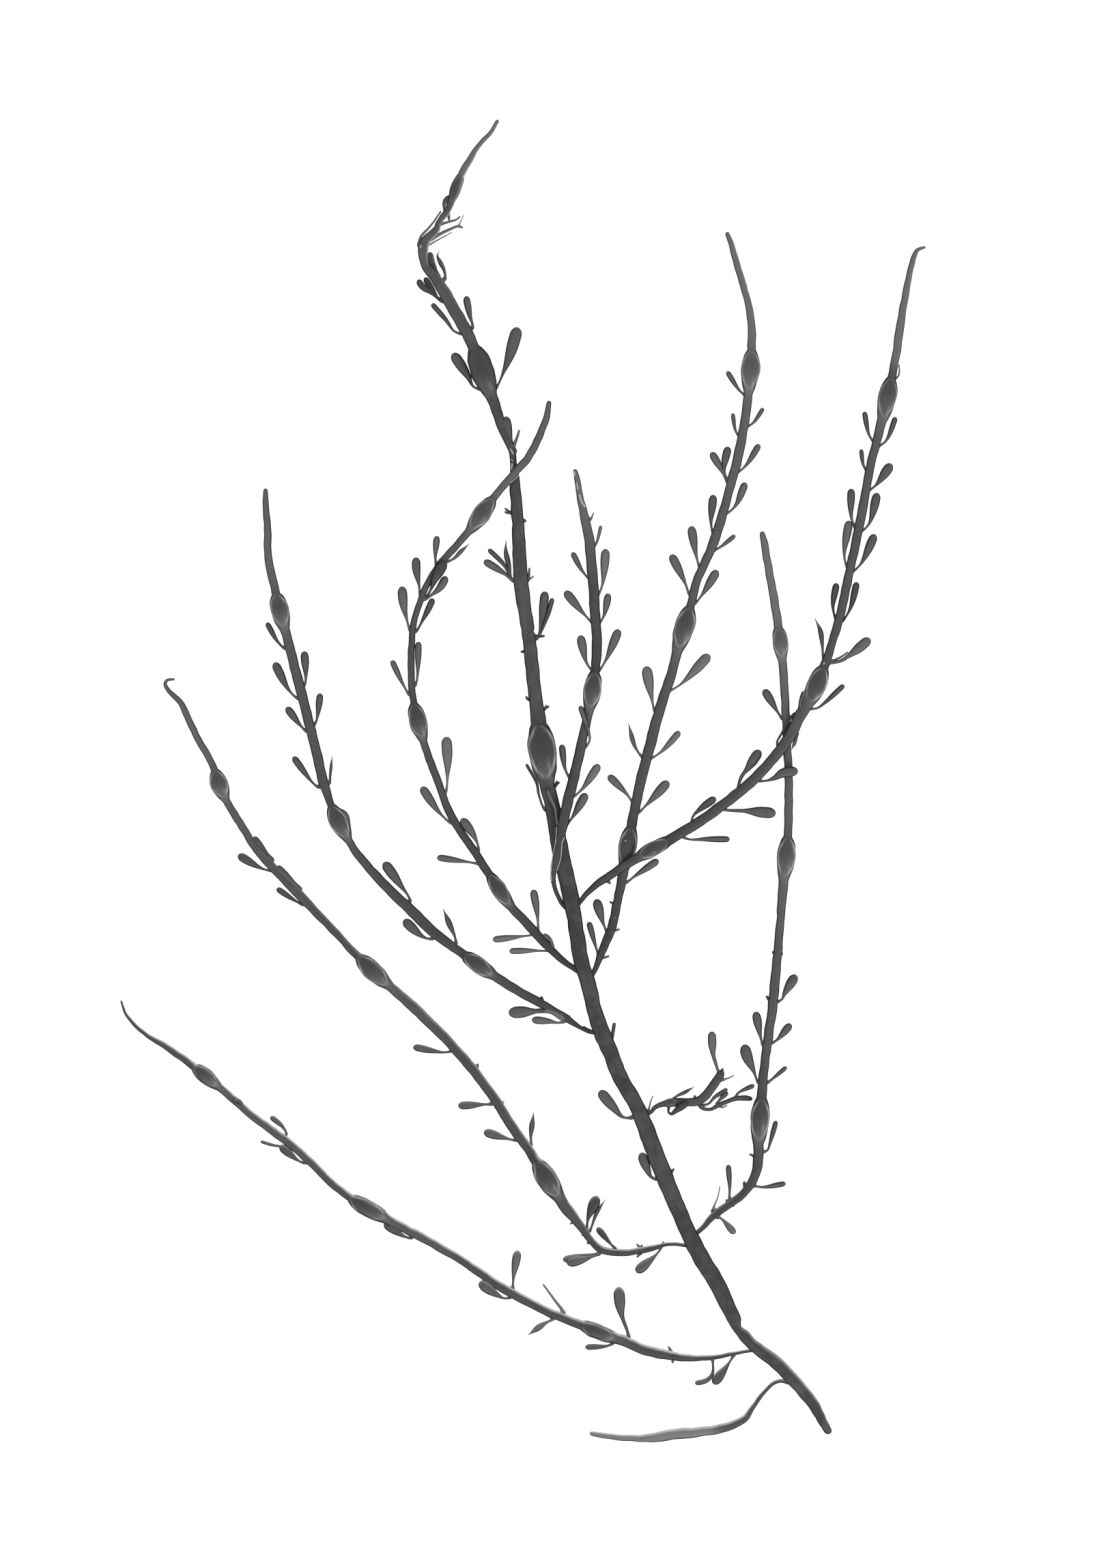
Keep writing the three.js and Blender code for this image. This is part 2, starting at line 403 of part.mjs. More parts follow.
// A closed solid through upright sections, each with a centre, a heading, a width and a thickness.
function sweep(sections, sides) {
  const positions = [];
  for (const { centre, heading, width, thickness } of sections) {
    for (const [across, up] of sectionOutline(width, thickness, sides)) {
      positions.push(centre.x + heading.y * across, centre.y - heading.x * across, centre.z + up);
    }
  }
  const faces = [];
  for (let ring = 0; ring + 1 < sections.length; ring += 1) {
    for (let side = 0; side < sides; side += 1) {
      const a = ring * sides + side;
      const b = ring * sides + ((side + 1) % sides);
      faces.push(a, b + sides, b, a, a + sides, b + sides);
    }
  }
  const last = (sections.length - 1) * sides;
  for (let side = 1; side + 1 < sides; side += 1) {
    faces.push(0, side, side + 1, last, last + side + 1, last + side);
  }
  return new wasm.Manifold(new wasm.Mesh({
    numProp: 3,
    vertProperties: new Float32Array(positions),
    triVerts: new Uint32Array(faces),
  }));
}

// A strap that follows a route on the surface, swollen at its bladders and arched where it crosses.
class Strap {
  constructor({ route, bladders = [], humps = [] }, rootHeight) {
    const points = route.map(([x, y]) => new THREE.Vector3(x, y, 0));
    this.curve = new THREE.CatmullRomCurve3(points);
    this.curve.arcLengthDivisions = DIVISIONS_PER_ROW * route.length;
    this.length = this.curve.getLength();
    this.widths = route.map((row) => row[2]);
    this.rootHeight = rootHeight;
    this.bladders = bladders.map(([x, y, length, width]) => ({ at: this.nearest(x, y), length, width }));
    this.humps = humps.map(([x, y, height, reach]) => ({ at: this.nearest(x, y), height, reach }));
  }

  // The distance along the strap of the point nearest to a place on the surface.
  nearest(x, y) {
    const place = new THREE.Vector3(x, y, 0);
    const tries = Math.ceil(this.length / SEARCH_STEP);
    let best = 0;
    let least = Infinity;
    for (let step = 0; step <= tries; step += 1) {
      const distance = this.curve.getPointAt(step / tries).distanceTo(place);
      if (distance < least) {
        least = distance;
        best = (step / tries) * this.length;
      }
    }
    return best;
  }

  // The plain strap's width with both its margins, without its bladders.
  plainWidth(at) {
    const row = this.curve.getUtoTmapping(at / this.length) * (this.widths.length - 1);
    const before = Math.min(Math.floor(row), this.widths.length - 2);
    return MARGINS + THREE.MathUtils.lerp(this.widths[before], this.widths[before + 1], row - before);
  }

  // Centre, heading, width and thickness of the strap at a distance along it.
  section(at) {
    const share = THREE.MathUtils.clamp(at / this.length, 0, 1);
    const plain = this.plainWidth(share * this.length);
    let width = plain;
    let thickness = strapThickness(plain);
    let height = thickness / 2;
    height += Math.max(0, this.rootHeight - height) * settle(at / ROOT_SETTLE);
    for (const bladder of this.bladders) {
      const beyond = at - bladder.at;
      const along = beyond / swellReach(bladder.length, beyond);
      const fullness = BLADDER_FLATNESS * bladder.width - strapThickness(plain);
      width += (bladder.width - plain) * swell(along);
      thickness += fullness * swell(along);
      height += (fullness / 2) * settle(along / SETTLE_REACH);
    }
    for (const hump of this.humps) {
      height += hump.height * arch((at - hump.at) / hump.reach);
    }
    const centre = this.curve.getPointAt(share).setZ(Math.max(height, thickness / 2));
    return { centre, heading: this.curve.getTangentAt(share), width, thickness };
  }

  // Whether one straight stretch between two distances would leave the strap's true form.
  departs(from, to) {
    const [start, middle, end] = [from, (from + to) / 2, to].map((at) => this.section(at));
    const chord = start.centre.clone().add(end.centre).multiplyScalar(0.5);
    const narrowing = Math.abs(start.width + end.width - 2 * middle.width) / 2;
    const allowed = Math.min(CHORD_ERROR, CHORD_ERROR_SHARE * middle.width);
    return to - from > LONGEST_STEP || Math.max(chord.distanceTo(middle.centre), narrowing) > allowed;
  }

  // The distances between two others where a further section is needed, in order.
  refine(from, to) {
    if (!this.departs(from, to)) {
      return [];
    }
    const middle = (from + to) / 2;
    return [...this.refine(from, middle), middle, ...this.refine(middle, to)];
  }

  // Distances of the sections that the solid needs: fixed ones at bladders, others at bends.
  stations() {
    const swollen = this.bladders.flatMap(({ at, length }) => (
      BLADDER_SECTIONS.map((share) => at + share * swellReach(length, share))
    ));
    const raised = this.humps.flatMap(({ at, reach }) => [at - reach / 2, at, at + reach / 2]);
    const clear = raised.filter((at) => swollen.every((other) => Math.abs(at - other) > CLEAR_STEP));
    const fixed = [0, ...swollen, ...clear, this.length].sort((a, b) => a - b);
    const parts = fixed.slice(1).map((at, index) => [...this.refine(fixed[index], at), at]);
    return [0, ...parts.flat()];
  }

  // The strap's solid, with every face moved out by the given margin.
  solid(margin = 0) {
    const sections = this.stations().map((at) => this.section(at));
    const grown = sections.map(({ width, thickness, ...rest }) => (
      { ...rest, width: width + SEAT_WIDENING * margin, thickness: thickness + 2 * margin }
    ));
    return sweep(grown, STRAP_SIDES);
  }
}

// The sections of a receptacle or spur, as shares of its length and of its width.
function shootSections({ width, broken }) {
  if (broken) {
    return SPUR_SECTIONS;
  }
  if (width < HAIR_WIDTH) {
    return HAIR_SECTIONS;
  }
  const stalk = STALK_WIDTH / width;
  return [[0, stalk], [CLUB_STALK_END, stalk], ...CLUB_SECTIONS];
}

// A receptacle or spur, rooted inside the strap that it grows from and resting on the surface.
function shootSolid(strap, shoot) {
  const plan = [];
  for (let i = 0; i < shoot.points.length; i += 2) {
    plan.push(new THREE.Vector3(shoot.points[i], shoot.points[i + 1], 0));
  }
  const seat = strap.section(strap.nearest(plan[0].x, plan[0].y)).centre;
  const inner = plan[0].clone().lerp(seat.clone().setZ(0), ROOT_DEPTH);
  const curve = new THREE.CatmullRomCurve3([inner, ...plan]);
  const restHeight = strapThickness(shoot.width) / 2 + shoot.rise;
  const sections = shootSections(shoot).map(([share, widthShare]) => {
    const width = widthShare * shoot.width;
    const settled = THREE.MathUtils.smoothstep(share, 0, SHOOT_SETTLE);
    const height = THREE.MathUtils.lerp(seat.z, restHeight, settled);
    const centre = curve.getPointAt(share).setZ(height);
    return { centre, heading: curve.getTangentAt(share), width, thickness: strapThickness(width) };
  });
  return sweep(sections, SHOOT_SIDES);
}

// A strap with all that grows on it, a side twig too, as one solid.
function frondSolid(strap, { shoots = [], twig }) {
  const grown = shoots.reduce((solid, shoot) => solid.add(shootSolid(strap, shoot)), strap.solid());
  return twig ? grown.add(frondSolid(new Strap(twig, 0), twig)) : grown;
}

// A named mesh of a finished solid.
function makeMesh(solid, name, grey) {
  const { numProp, vertProperties, triVerts } = solid.getMesh();
  const geometry = new THREE.BufferGeometry();
  const positions = new THREE.InterleavedBuffer(vertProperties, numProp);
  geometry.setAttribute('position', new THREE.InterleavedBufferAttribute(positions, 3, 0));
  geometry.setIndex(new THREE.BufferAttribute(triVerts, 1));
  geometry.computeVertexNormals();
  const tissue = new THREE.MeshStandardMaterial({ color: grey, roughness: TISSUE_ROUGHNESS, metalness: 0 });
  const mesh = new THREE.Mesh(geometry, tissue);
  mesh.name = name;
  return mesh;
}

const wrack = new THREE.Group();
wrack.name = 'knotted_wrack';

const stem = new Strap(MAIN_STEM, 0);
const stemSeat = stem.solid(SEAT_GAP);
wrack.add(makeMesh(frondSolid(stem, MAIN_STEM), MAIN_STEM.name, MAIN_STEM.grey));

for (const branch of BRANCHES) {
  const [rootX, rootY] = branch.route[0];
  const fork = stem.section(stem.nearest(rootX, rootY)).centre;
  const strap = new Strap(branch, fork.z);
  const solid = frondSolid(strap, branch).subtract(stemSeat);
  wrack.add(makeMesh(solid, branch.name, STRAP_GREY));
}

export default wrack;
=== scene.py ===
"""A frond of knotted wrack lying flat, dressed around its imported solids.

Lengths in the tables are millimetres in the frame of the solids: +Z is up, z = 0 is the surface
that the frond lies on, and +Y runs towards the tip of the main stem.
"""

import logging
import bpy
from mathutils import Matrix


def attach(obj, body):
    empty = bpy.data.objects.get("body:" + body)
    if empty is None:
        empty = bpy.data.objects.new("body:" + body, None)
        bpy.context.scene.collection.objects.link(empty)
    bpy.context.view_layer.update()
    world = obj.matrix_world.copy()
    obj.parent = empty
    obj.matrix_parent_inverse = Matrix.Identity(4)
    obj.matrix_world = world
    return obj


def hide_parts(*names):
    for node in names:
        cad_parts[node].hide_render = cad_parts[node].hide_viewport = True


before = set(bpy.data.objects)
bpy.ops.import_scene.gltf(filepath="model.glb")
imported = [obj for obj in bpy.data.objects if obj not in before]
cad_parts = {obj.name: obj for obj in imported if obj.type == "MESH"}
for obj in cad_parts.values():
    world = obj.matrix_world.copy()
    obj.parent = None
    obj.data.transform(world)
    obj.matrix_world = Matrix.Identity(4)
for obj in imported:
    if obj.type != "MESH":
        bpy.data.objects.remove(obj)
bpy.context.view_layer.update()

import zlib
from dataclasses import dataclass, field
from enum import Enum
from typing import Any, Optional

import bpy
import numpy as np
from mathutils import Vector

LOG = logging.getLogger("knotted_wrack")

MM = 0.001
BODY = "root"

# Forms of the tissue, the same as those of the solids; both margins together add a little to a strap's rows.
MARGINS = 0.4
STRAP_FLATNESS = 0.5
SKIN = 0.2
BLADDER_FLATNESS = 0.85
SETTLE_REACH = 1.5
ROOT_SETTLE = 22.0
ROOT_DEPTH = 0.85
SHOOT_SETTLE = 0.65

# How finely the tissue is drawn: steps along it, and points round it.
STRAP_STEP = 0.8
SHOOT_STEP = 0.5
STRAP_SIDES = 24
SHOOT_SIDES = 14
CURVE_DIVISIONS = 40
LEAST_STEPS = 6
END_STEPS = (0.02, 0.1, 0.3, 0.6)

# How the widths run: strap rows are eased over a short stretch, margins waver and ends are rounded.
WIDTH_EASE = 5.0
EASE_STEP = 0.5
WAVER_STEP = 2.4
WAVER_SIDEWAYS = 0.15
WAVER_WIDTH = 0.045
STRAP_ROUNDING = 0.6
BLADE_ROUNDING = 0.7
TIP_SHARE = 0.03
SWELL_POWER = 1.2
SWELL_BLUNT = 0.75
SWELL_TIPWARD = 0.9
SWELL_ROOTWARD = 1.15

# Receptacles: a thin stalk with a flared foot that widens to a round-ended blade.
STALK_WIDTH = 1.0
STALK_END = 0.2
BLADE_FULL = 0.78
SPOON_STALK = 1.7
SPOON_END = 0.38
SPOON_FULL = 0.76
SPEAR_FULL = 0.62
SPEAR_POINT = 0.85
FOOT_FLARE = 1.0
FOOT_LENGTH = 0.8
STRAND_TAPER = 0.4

# How square a section is: 2 is an oval.
STRAP_SQUARENESS = 2.3
BLADDER_SQUARENESS = 2.0

# Sockets of a colour Mix node.
MIX_FACTOR, MIX_UNDER, MIX_OVER, MIX_RESULT = 0, 6, 7, 2

# Streaks across half a strap, scars to a streak, and the slant of the lines along which the painted edge
# light fades.
STREAKS_ACROSS = 2.5
SCARS_PER_STREAK = 3.0
EDGE_LIGHT_SLANT = 0.7

# How the looks run: two limits of a measure, and the shares at them.
PATCH_RUN = (0.38, 0.68, 0.0, 1.0)
BLADDER_RUN = (0.02, 0.4, 0.0, 1.0)
CROWN_ON_PALE = (0.0, 0.8, 1.0, 0.3)
RIM_AT_TIP = (0.4, 0.85, 1.0, 0.3)
RIM_GAPS = (0.35, 0.6, 0.45, 1.0)
SHOULDER_SHADE_RISE = (0.9, 1.05, 0.0, 0.4)
SHOULDER_SHADE_FALL = (1.1, 1.4, 1.0, 0.0)
SHOULDER_SHADE_ON_BLADDER = (0.0, 0.05, 0.0, 1.0)
SHOULDER_SHADE_AT_TIP = (0.4, 0.8, 0.0, 1.0)
MARGIN_SHADE_ON_PALE = (0.0, 1.0, 1.0, 0.7)
MARGIN_SHADE_ON_BLADDER = (0.0, 0.6, 1.0, 0.6)
EDGE_LIGHT_ON_BLADDER = (0.1, 0.6, 1.0, 0.3)
SHADED_SIDE = (-0.6, -0.25, 0.85, 0.0)
RIGHT_LIT_SIDE = (0.2, 0.7, 0.0, 0.8)
GRAIN_MOTTLE = (0.25, 0.75, 0.92, 1.08)
STREAK_MOTTLE = (0.25, 0.75, 0.94, 1.06)

# Limits of a measure alone, where a finish gives the shares at them.
SCAR_LIMITS = (0.72, 0.78)
LIT_SIDE = (0.06, 0.55)
ROUGHNESS_LIMITS = (0.3, 0.7)

# How dried tissue shines, and how strongly its relief shows.
SKIN_IOR = 1.45
SKIN_SHINE = 0.4
RELIEF_STRENGTH = 0.7

# The floor is a hair below the frond, so that no two faces share a plane.
FLOOR_GAP = 0.05

# Plain white light, and the direction away from the surface.
WHITE = (1.0, 1.0, 1.0, 1.0)
UP = (0.0, 0.0, 1.0)

# Tissue pales along a strap: a step at each bladder, a rise from one to the next, and a pale tip.
PALENESS_EASE = 9.0
PALE_LENGTH = 60.0

# Half width of the narrowest tissue whose painted margin shade has its full width.
LINE_HALF_WIDTH = 1.1


class Growth(Enum):
    """What grows out of a strap's margin."""

    RECEPTACLE = "club-shaped blade on a thin stalk"
    SPOON = "round blade on a broad stalk"
    SPEAR = "slender blade with a pointed tip"
    HAIR = "thin strand that tapers to its end"
    SPUR = "short broken stalk"
    FOLD = "pale turned-up margin, tear or speck"


class Shade(Enum):
    """How pale a blade or a tip is, as a share of the palest tissue."""

    DARK = 0.05
    DIM = 0.22
    PLAIN = 0.4
    LIGHT = 0.66
    PALE = 0.95


def smooth_step(value: np.ndarray, low: float, high: float) -> np.ndarray:
    """Ease from 0 to 1 between two values.

    Args:
        value: Values to ease.
        low: Value that gives 0.
        high: Value that gives 1.

    Returns:
        Eased values between 0 and 1.
    """
    share = np.clip((value - low) / (high - low), 0.0, 1.0)
    return share * share * (3.0 - 2.0 * share)


def strap_thickness(width: np.ndarray) -> np.ndarray:
    """Thickness of plain tissue of a width, in millimetres."""
    return SKIN + STRAP_FLATNESS * width


def swell(share: np.ndarray) -> np.ndarray:
    """Fullness of a bladder, from 1 at its middle to 0 at its ends, blunt towards the tip."""
    return np.maximum(0.0, 1.0 - share**2) ** np.where(share > 0.0, SWELL_BLUNT, SWELL_POWER)


def settle(share: np.ndarray) -> np.ndarray:
    """Gentle rise of a strap towards the middle height of a bladder or a root."""
    return np.maximum(0.0, 1.0 - share**2) ** 2


def arch(share: np.ndarray) -> np.ndarray:
    """Flat-topped rise of a strap that passes over another."""
    return np.maximum(0.0, 1.0 - share**4) ** 2


def closing(along: np.ndarray, width: np.ndarray, rounding: float, first: bool) -> np.ndarray:
    """Round off the free ends of a strip of tissue.

    Args:
        along: Distances along the strip.
        width: Its widths there.
        rounding: Length of a rounded end, as a share of the width.
        first: Whether its first end is free too.

    Returns:
        Shares of the full size, which close in a half oval at each free end.
    """
    shares = np.ones_like(along)
    ends = [(along[-1] - along, width[-1])]
    if first:
        ends.append((along, width[0]))
    for distance, end_width in ends:
        inward = np.clip(distance / (rounding * end_width), 0.0, 1.0)
        shares *= np.sqrt(1.0 - (1.0 - inward) ** 2)
    return np.maximum(shares, TIP_SHARE)


def ease(along: np.ndarray, values: np.ndarray, reach: float) -> np.ndarray:
    """Smooth values over a short stretch.

    Args:
        along: Distances along the strip.
        values: Values there.
        reach: Length of the stretch.

    Returns:
        Smoothed values.
    """
    grid = np.linspace(0.0, along[-1], max(int(along[-1] / EASE_STEP), 2))
    window = np.hanning(2 * int(reach / EASE_STEP / 2.0) + 3)
    half = len(window) // 2
    padded = np.pad(np.interp(grid, along, values), half, mode="edge")
    smoothed = np.convolve(padded, window / window.sum(), mode="valid")
    return np.interp(along, grid, smoothed)


def waver(along: np.ndarray, random: np.random.Generator) -> np.ndarray:
    """Draw a gentle random unevenness.

    Args:
        along: Distances along the strip.
        random: Seeded source of numbers.

    Returns:
        Values of about -1 to 1 that change smoothly along the strip.
    """
    knots = np.arange(0.0, along[-1] + WAVER_STEP, WAVER_STEP)
    values = np.interp(along, knots, random.uniform(-1.0, 1.0, len(knots)))
    return ease(along, values, WAVER_STEP)


def nearest(places: np.ndarray, x: float, y: float) -> int:
    """Find the row nearest to a place on the surface."""
    return int(np.argmin(np.hypot(places[:, 0] - x, places[:, 1] - y)))


def smooth_curve(points: np.ndarray) -> np.ndarray:
    """Draw the centripetal Catmull-Rom curve that the solids follow.

    Args:
        points: Rows of x and y that the curve passes through.

    Returns:
        Rows of x, y and the fractional row number, closely spaced.
    """
    before = 2.0 * points[0] - points[1]
    after = 2.0 * points[-1] - points[-2]
    padded = np.vstack([before, points, after])
    spans = np.sqrt(np.linalg.norm(np.diff(padded, axis=0), axis=1))
    share = np.linspace(0.0, 1.0, CURVE_DIVISIONS, endpoint=False)[:, None]
    legs = []
    for leg in range(len(points) - 1):
        p0, p1, p2, p3 = padded[leg:leg + 4]
        t0, t1, t2 = spans[leg:leg + 3]
        leave = t1 * ((p1 - p0) / t0 - (p2 - p0) / (t0 + t1) + (p2 - p1) / t1)
        arrive = t1 * ((p2 - p1) / t1 - (p3 - p1) / (t1 + t2) + (p3 - p2) / t2)
        square = -3.0 * p1 + 3.0 * p2 - 2.0 * leave - arrive
        cube = 2.0 * p1 - 2.0 * p2 + leave + arrive
        place = p1 + share * (leave + share * (square + share * cube))
        legs.append(np.hstack([place, leg + share]))
    last = np.append(points[-1], len(points) - 1.0)
    return np.vstack([*legs, last])


def resample(curve: np.ndarray, step: float) -> tuple[np.ndarray, np.ndarray]:
    """Space the rows of a curve evenly, and closer at its ends.

    Args:
        curve: Rows whose first two values are x and y.
        step: Greatest spacing, in millimetres.

    Returns:
        Distances along the curve, and the rows there.
    """
    legs = np.linalg.norm(np.diff(curve[:, :2], axis=0), axis=1)
    travelled = np.concatenate([[0.0], np.cumsum(legs)])
    length = travelled[-1]
    count = max(int(np.ceil(length / step)), LEAST_STEPS)
    even = np.linspace(0.0, length, count + 1)
    closer = np.array(END_STEPS) * even[1]
    along = np.unique(np.concatenate([even, closer, length - closer]))
    rows = [np.interp(along, travelled, column) for column in curve.T]
    return along, np.column_stack(rows)


@dataclass
class Ribbon:
    """A strip of tissue to be swept: what it measures at each point along it, in millimetres.

    Attributes:
        along: Distance from its root.
        centre: Rows of x, y and z.
        width: Full width.
        thickness: Full thickness.
        fullness: Share of a bladder's swelling, from 0 to 1.
        station: Place along a bladder, from -1 at its root end to 1 at its tip end.
        paleness: Share of thin, pale tissue, from 0 to 1.
    """

    along: np.ndarray
    centre: np.ndarray
    width: np.ndarray
    thickness: np.ndarray
    fullness: np.ndarray
    station: np.ndarray
    paleness: np.ndarray

    def surface(self, plan: np.ndarray) -> np.ndarray:
        """Find the height of the ribbon's upper skin.

        Args:
            plan: Rows of x and y.

        Returns:
            Heights in millimetres, at the nearest part of the ribbon.
        """
        heights = []
        for x, y in plan:
            spot = nearest(self.centre, x, y)
            beside = np.hypot(x - self.centre[spot, 0], y - self.centre[spot, 1])
            share = min(1.0, 2.0 * beside / self.width[spot])
            heights.append(self.centre[spot, 2] + self.thickness[spot] / 2.0 * np.sqrt(1.0 - share**2))
        return np.array(heights)


@dataclass(frozen=True)
class Shoot:
    """Something small that grows from a strap and lies on the surface.

    Attributes:
        growth: What it is.
        width: Greatest width, in millimetres.
        plan: x and y of each of its points, from root to tip.
        rise: Height of its tip above the surface, where it lies over another strap.
        rooted: Whether it springs from the strap itself, and not from another shoot.
        shade: How pale it is, where it isn't like the strap's other shoots.
    """

    growth: Growth
    width: float
    plan: tuple[float, ...]
    rise: float = 0.0
    rooted: bool = True
    shade: Optional[Shade] = None

    def widths(self, along: np.ndarray, rooted: float) -> np.ndarray:
        """Run the shoot's width from its root to its tip.

        Args:
            along: Distances along the shoot.
            rooted: Distance at which it leaves the strap's margin.

        Returns:
            Widths in millimetres, before the tip is rounded.
        """
        share = along / along[-1]
        stalk = min(STALK_WIDTH, self.width)
        if self.growth is Growth.RECEPTACLE:
            width = stalk + (self.width - stalk) * smooth_step(share, STALK_END, BLADE_FULL)
        elif self.growth is Growth.SPOON:
            width = stalk + (SPOON_STALK - stalk) * smooth_step(share, 0.0, SPOON_END)
            width += (self.width - SPOON_STALK) * smooth_step(share, SPOON_END, SPOON_FULL)
        elif self.growth is Growth.SPEAR:
            width = stalk + (self.width - stalk) * smooth_step(share, STALK_END, SPEAR_FULL)
            width *= 1.0 - smooth_step(share, SPEAR_FULL, 1.0) * SPEAR_POINT
        elif self.growth is Growth.HAIR:
            width = self.width * (1.0 - STRAND_TAPER * share)
        else:
            width = np.full_like(along, self.width)
        if not self.rooted:
            return width
        return width + FOOT_FLARE * np.exp(-np.maximum(along - rooted, 0.0) / FOOT_LENGTH)

    def ribbon(self, strap: Ribbon, shade: Shade) -> Ribbon:
        """Measure the shoot along its route, from inside the strap that it grows from.

        Args:
            strap: The strap's ribbon.
            shade: How pale the strap's shoots are.

        Returns:
            The shoot as a ribbon.
        """
        plan = np.array(self.plan, float).reshape(-1, 2)
        seat = strap.centre[nearest(strap.centre, *plan[0])]
        lying = strap_thickness(self.width) / 2.0 + self.rise
        if self.rooted:
            root = plan[0] + ROOT_DEPTH * (seat[:2] - plan[0])
            plan = np.vstack([root, plan])
            base = float(seat[2])
        else:
            base = lying
        along, places = resample(smooth_curve(plan), SHOOT_STEP)
        stalk_length = float(np.linalg.norm(plan[1] - plan[0])) if self.rooted else 0.0
        full = self.widths(along, stalk_length)
        closed = closing(along, full, BLADE_ROUNDING, first=self.growth is Growth.FOLD)
        sinking = smooth_step(along / along[-1], 0.0, SHOOT_SETTLE)
        height = base + (lying - base) * sinking
        thickness = strap_thickness(full) * closed
        if self.growth is Growth.FOLD:
            height = strap.surface(places[:, :2])
        height = np.maximum(height, thickness / 2.0)
        return Ribbon(
            along=along,
            centre=np.column_stack([places[:, :2], height]),
            width=full * closed,
            thickness=thickness,
            fullness=np.zeros_like(along),
            station=np.ones_like(along),
            paleness=np.full_like(along, (self.shade or shade).value),
        )


def blade(width: float, *plan: float, shade: Optional[Shade] = None) -> Shoot:
    """Note a receptacle by its blade's width and its points."""
    return Shoot(Growth.RECEPTACLE, width, plan, shade=shade)


def raised_blade(rise: float, width: float, *plan: float, shade: Optional[Shade] = None) -> Shoot:
    """Note a receptacle that lies over another strap, with its tip raised."""
    return Shoot(Growth.RECEPTACLE, width, plan, rise, shade=shade)


def spoon(width: float, *plan: float, shade: Optional[Shade] = None) -> Shoot:
    """Note a receptacle with a round blade on a broad stalk."""
    return Shoot(Growth.SPOON, width, plan, shade=shade)


def spear(width: float, *plan: float, shade: Optional[Shade] = None) -> Shoot:
    """Note a slender pointed blade by its width and its points."""
    return Shoot(Growth.SPEAR, width, plan, shade=shade)


def fork(width: float, *plan: float, rise: float = 0.0) -> Shoot:
    """Note a thin strand that springs from another shoot, or lies raised on it."""
    return Shoot(Growth.HAIR, width, plan, rise, rooted=False, shade=Shade.PALE)


def wing(width: float, *plan: float) -> Shoot:
    """Note a thin flange along the side of a bladder or a strap."""
    return Shoot(Growth.SPEAR, width, plan, rooted=False, shade=Shade.PALE)


def hair(width: float, *plan: float) -> Shoot:
    """Note a thin strand by its width and its points."""
    return Shoot(Growth.HAIR, width, plan, shade=Shade.PALE)


def spur(width: float, *plan: float) -> Shoot:
    """Note a short broken stalk by its width and its points."""
    return Shoot(Growth.SPUR, width, plan)


def fold(width: float, *plan: float) -> Shoot:
    """Note a pale turned-up margin, a tear or a speck on a strap."""
    return Shoot(Growth.FOLD, width, plan, rooted=False, shade=Shade.PALE)


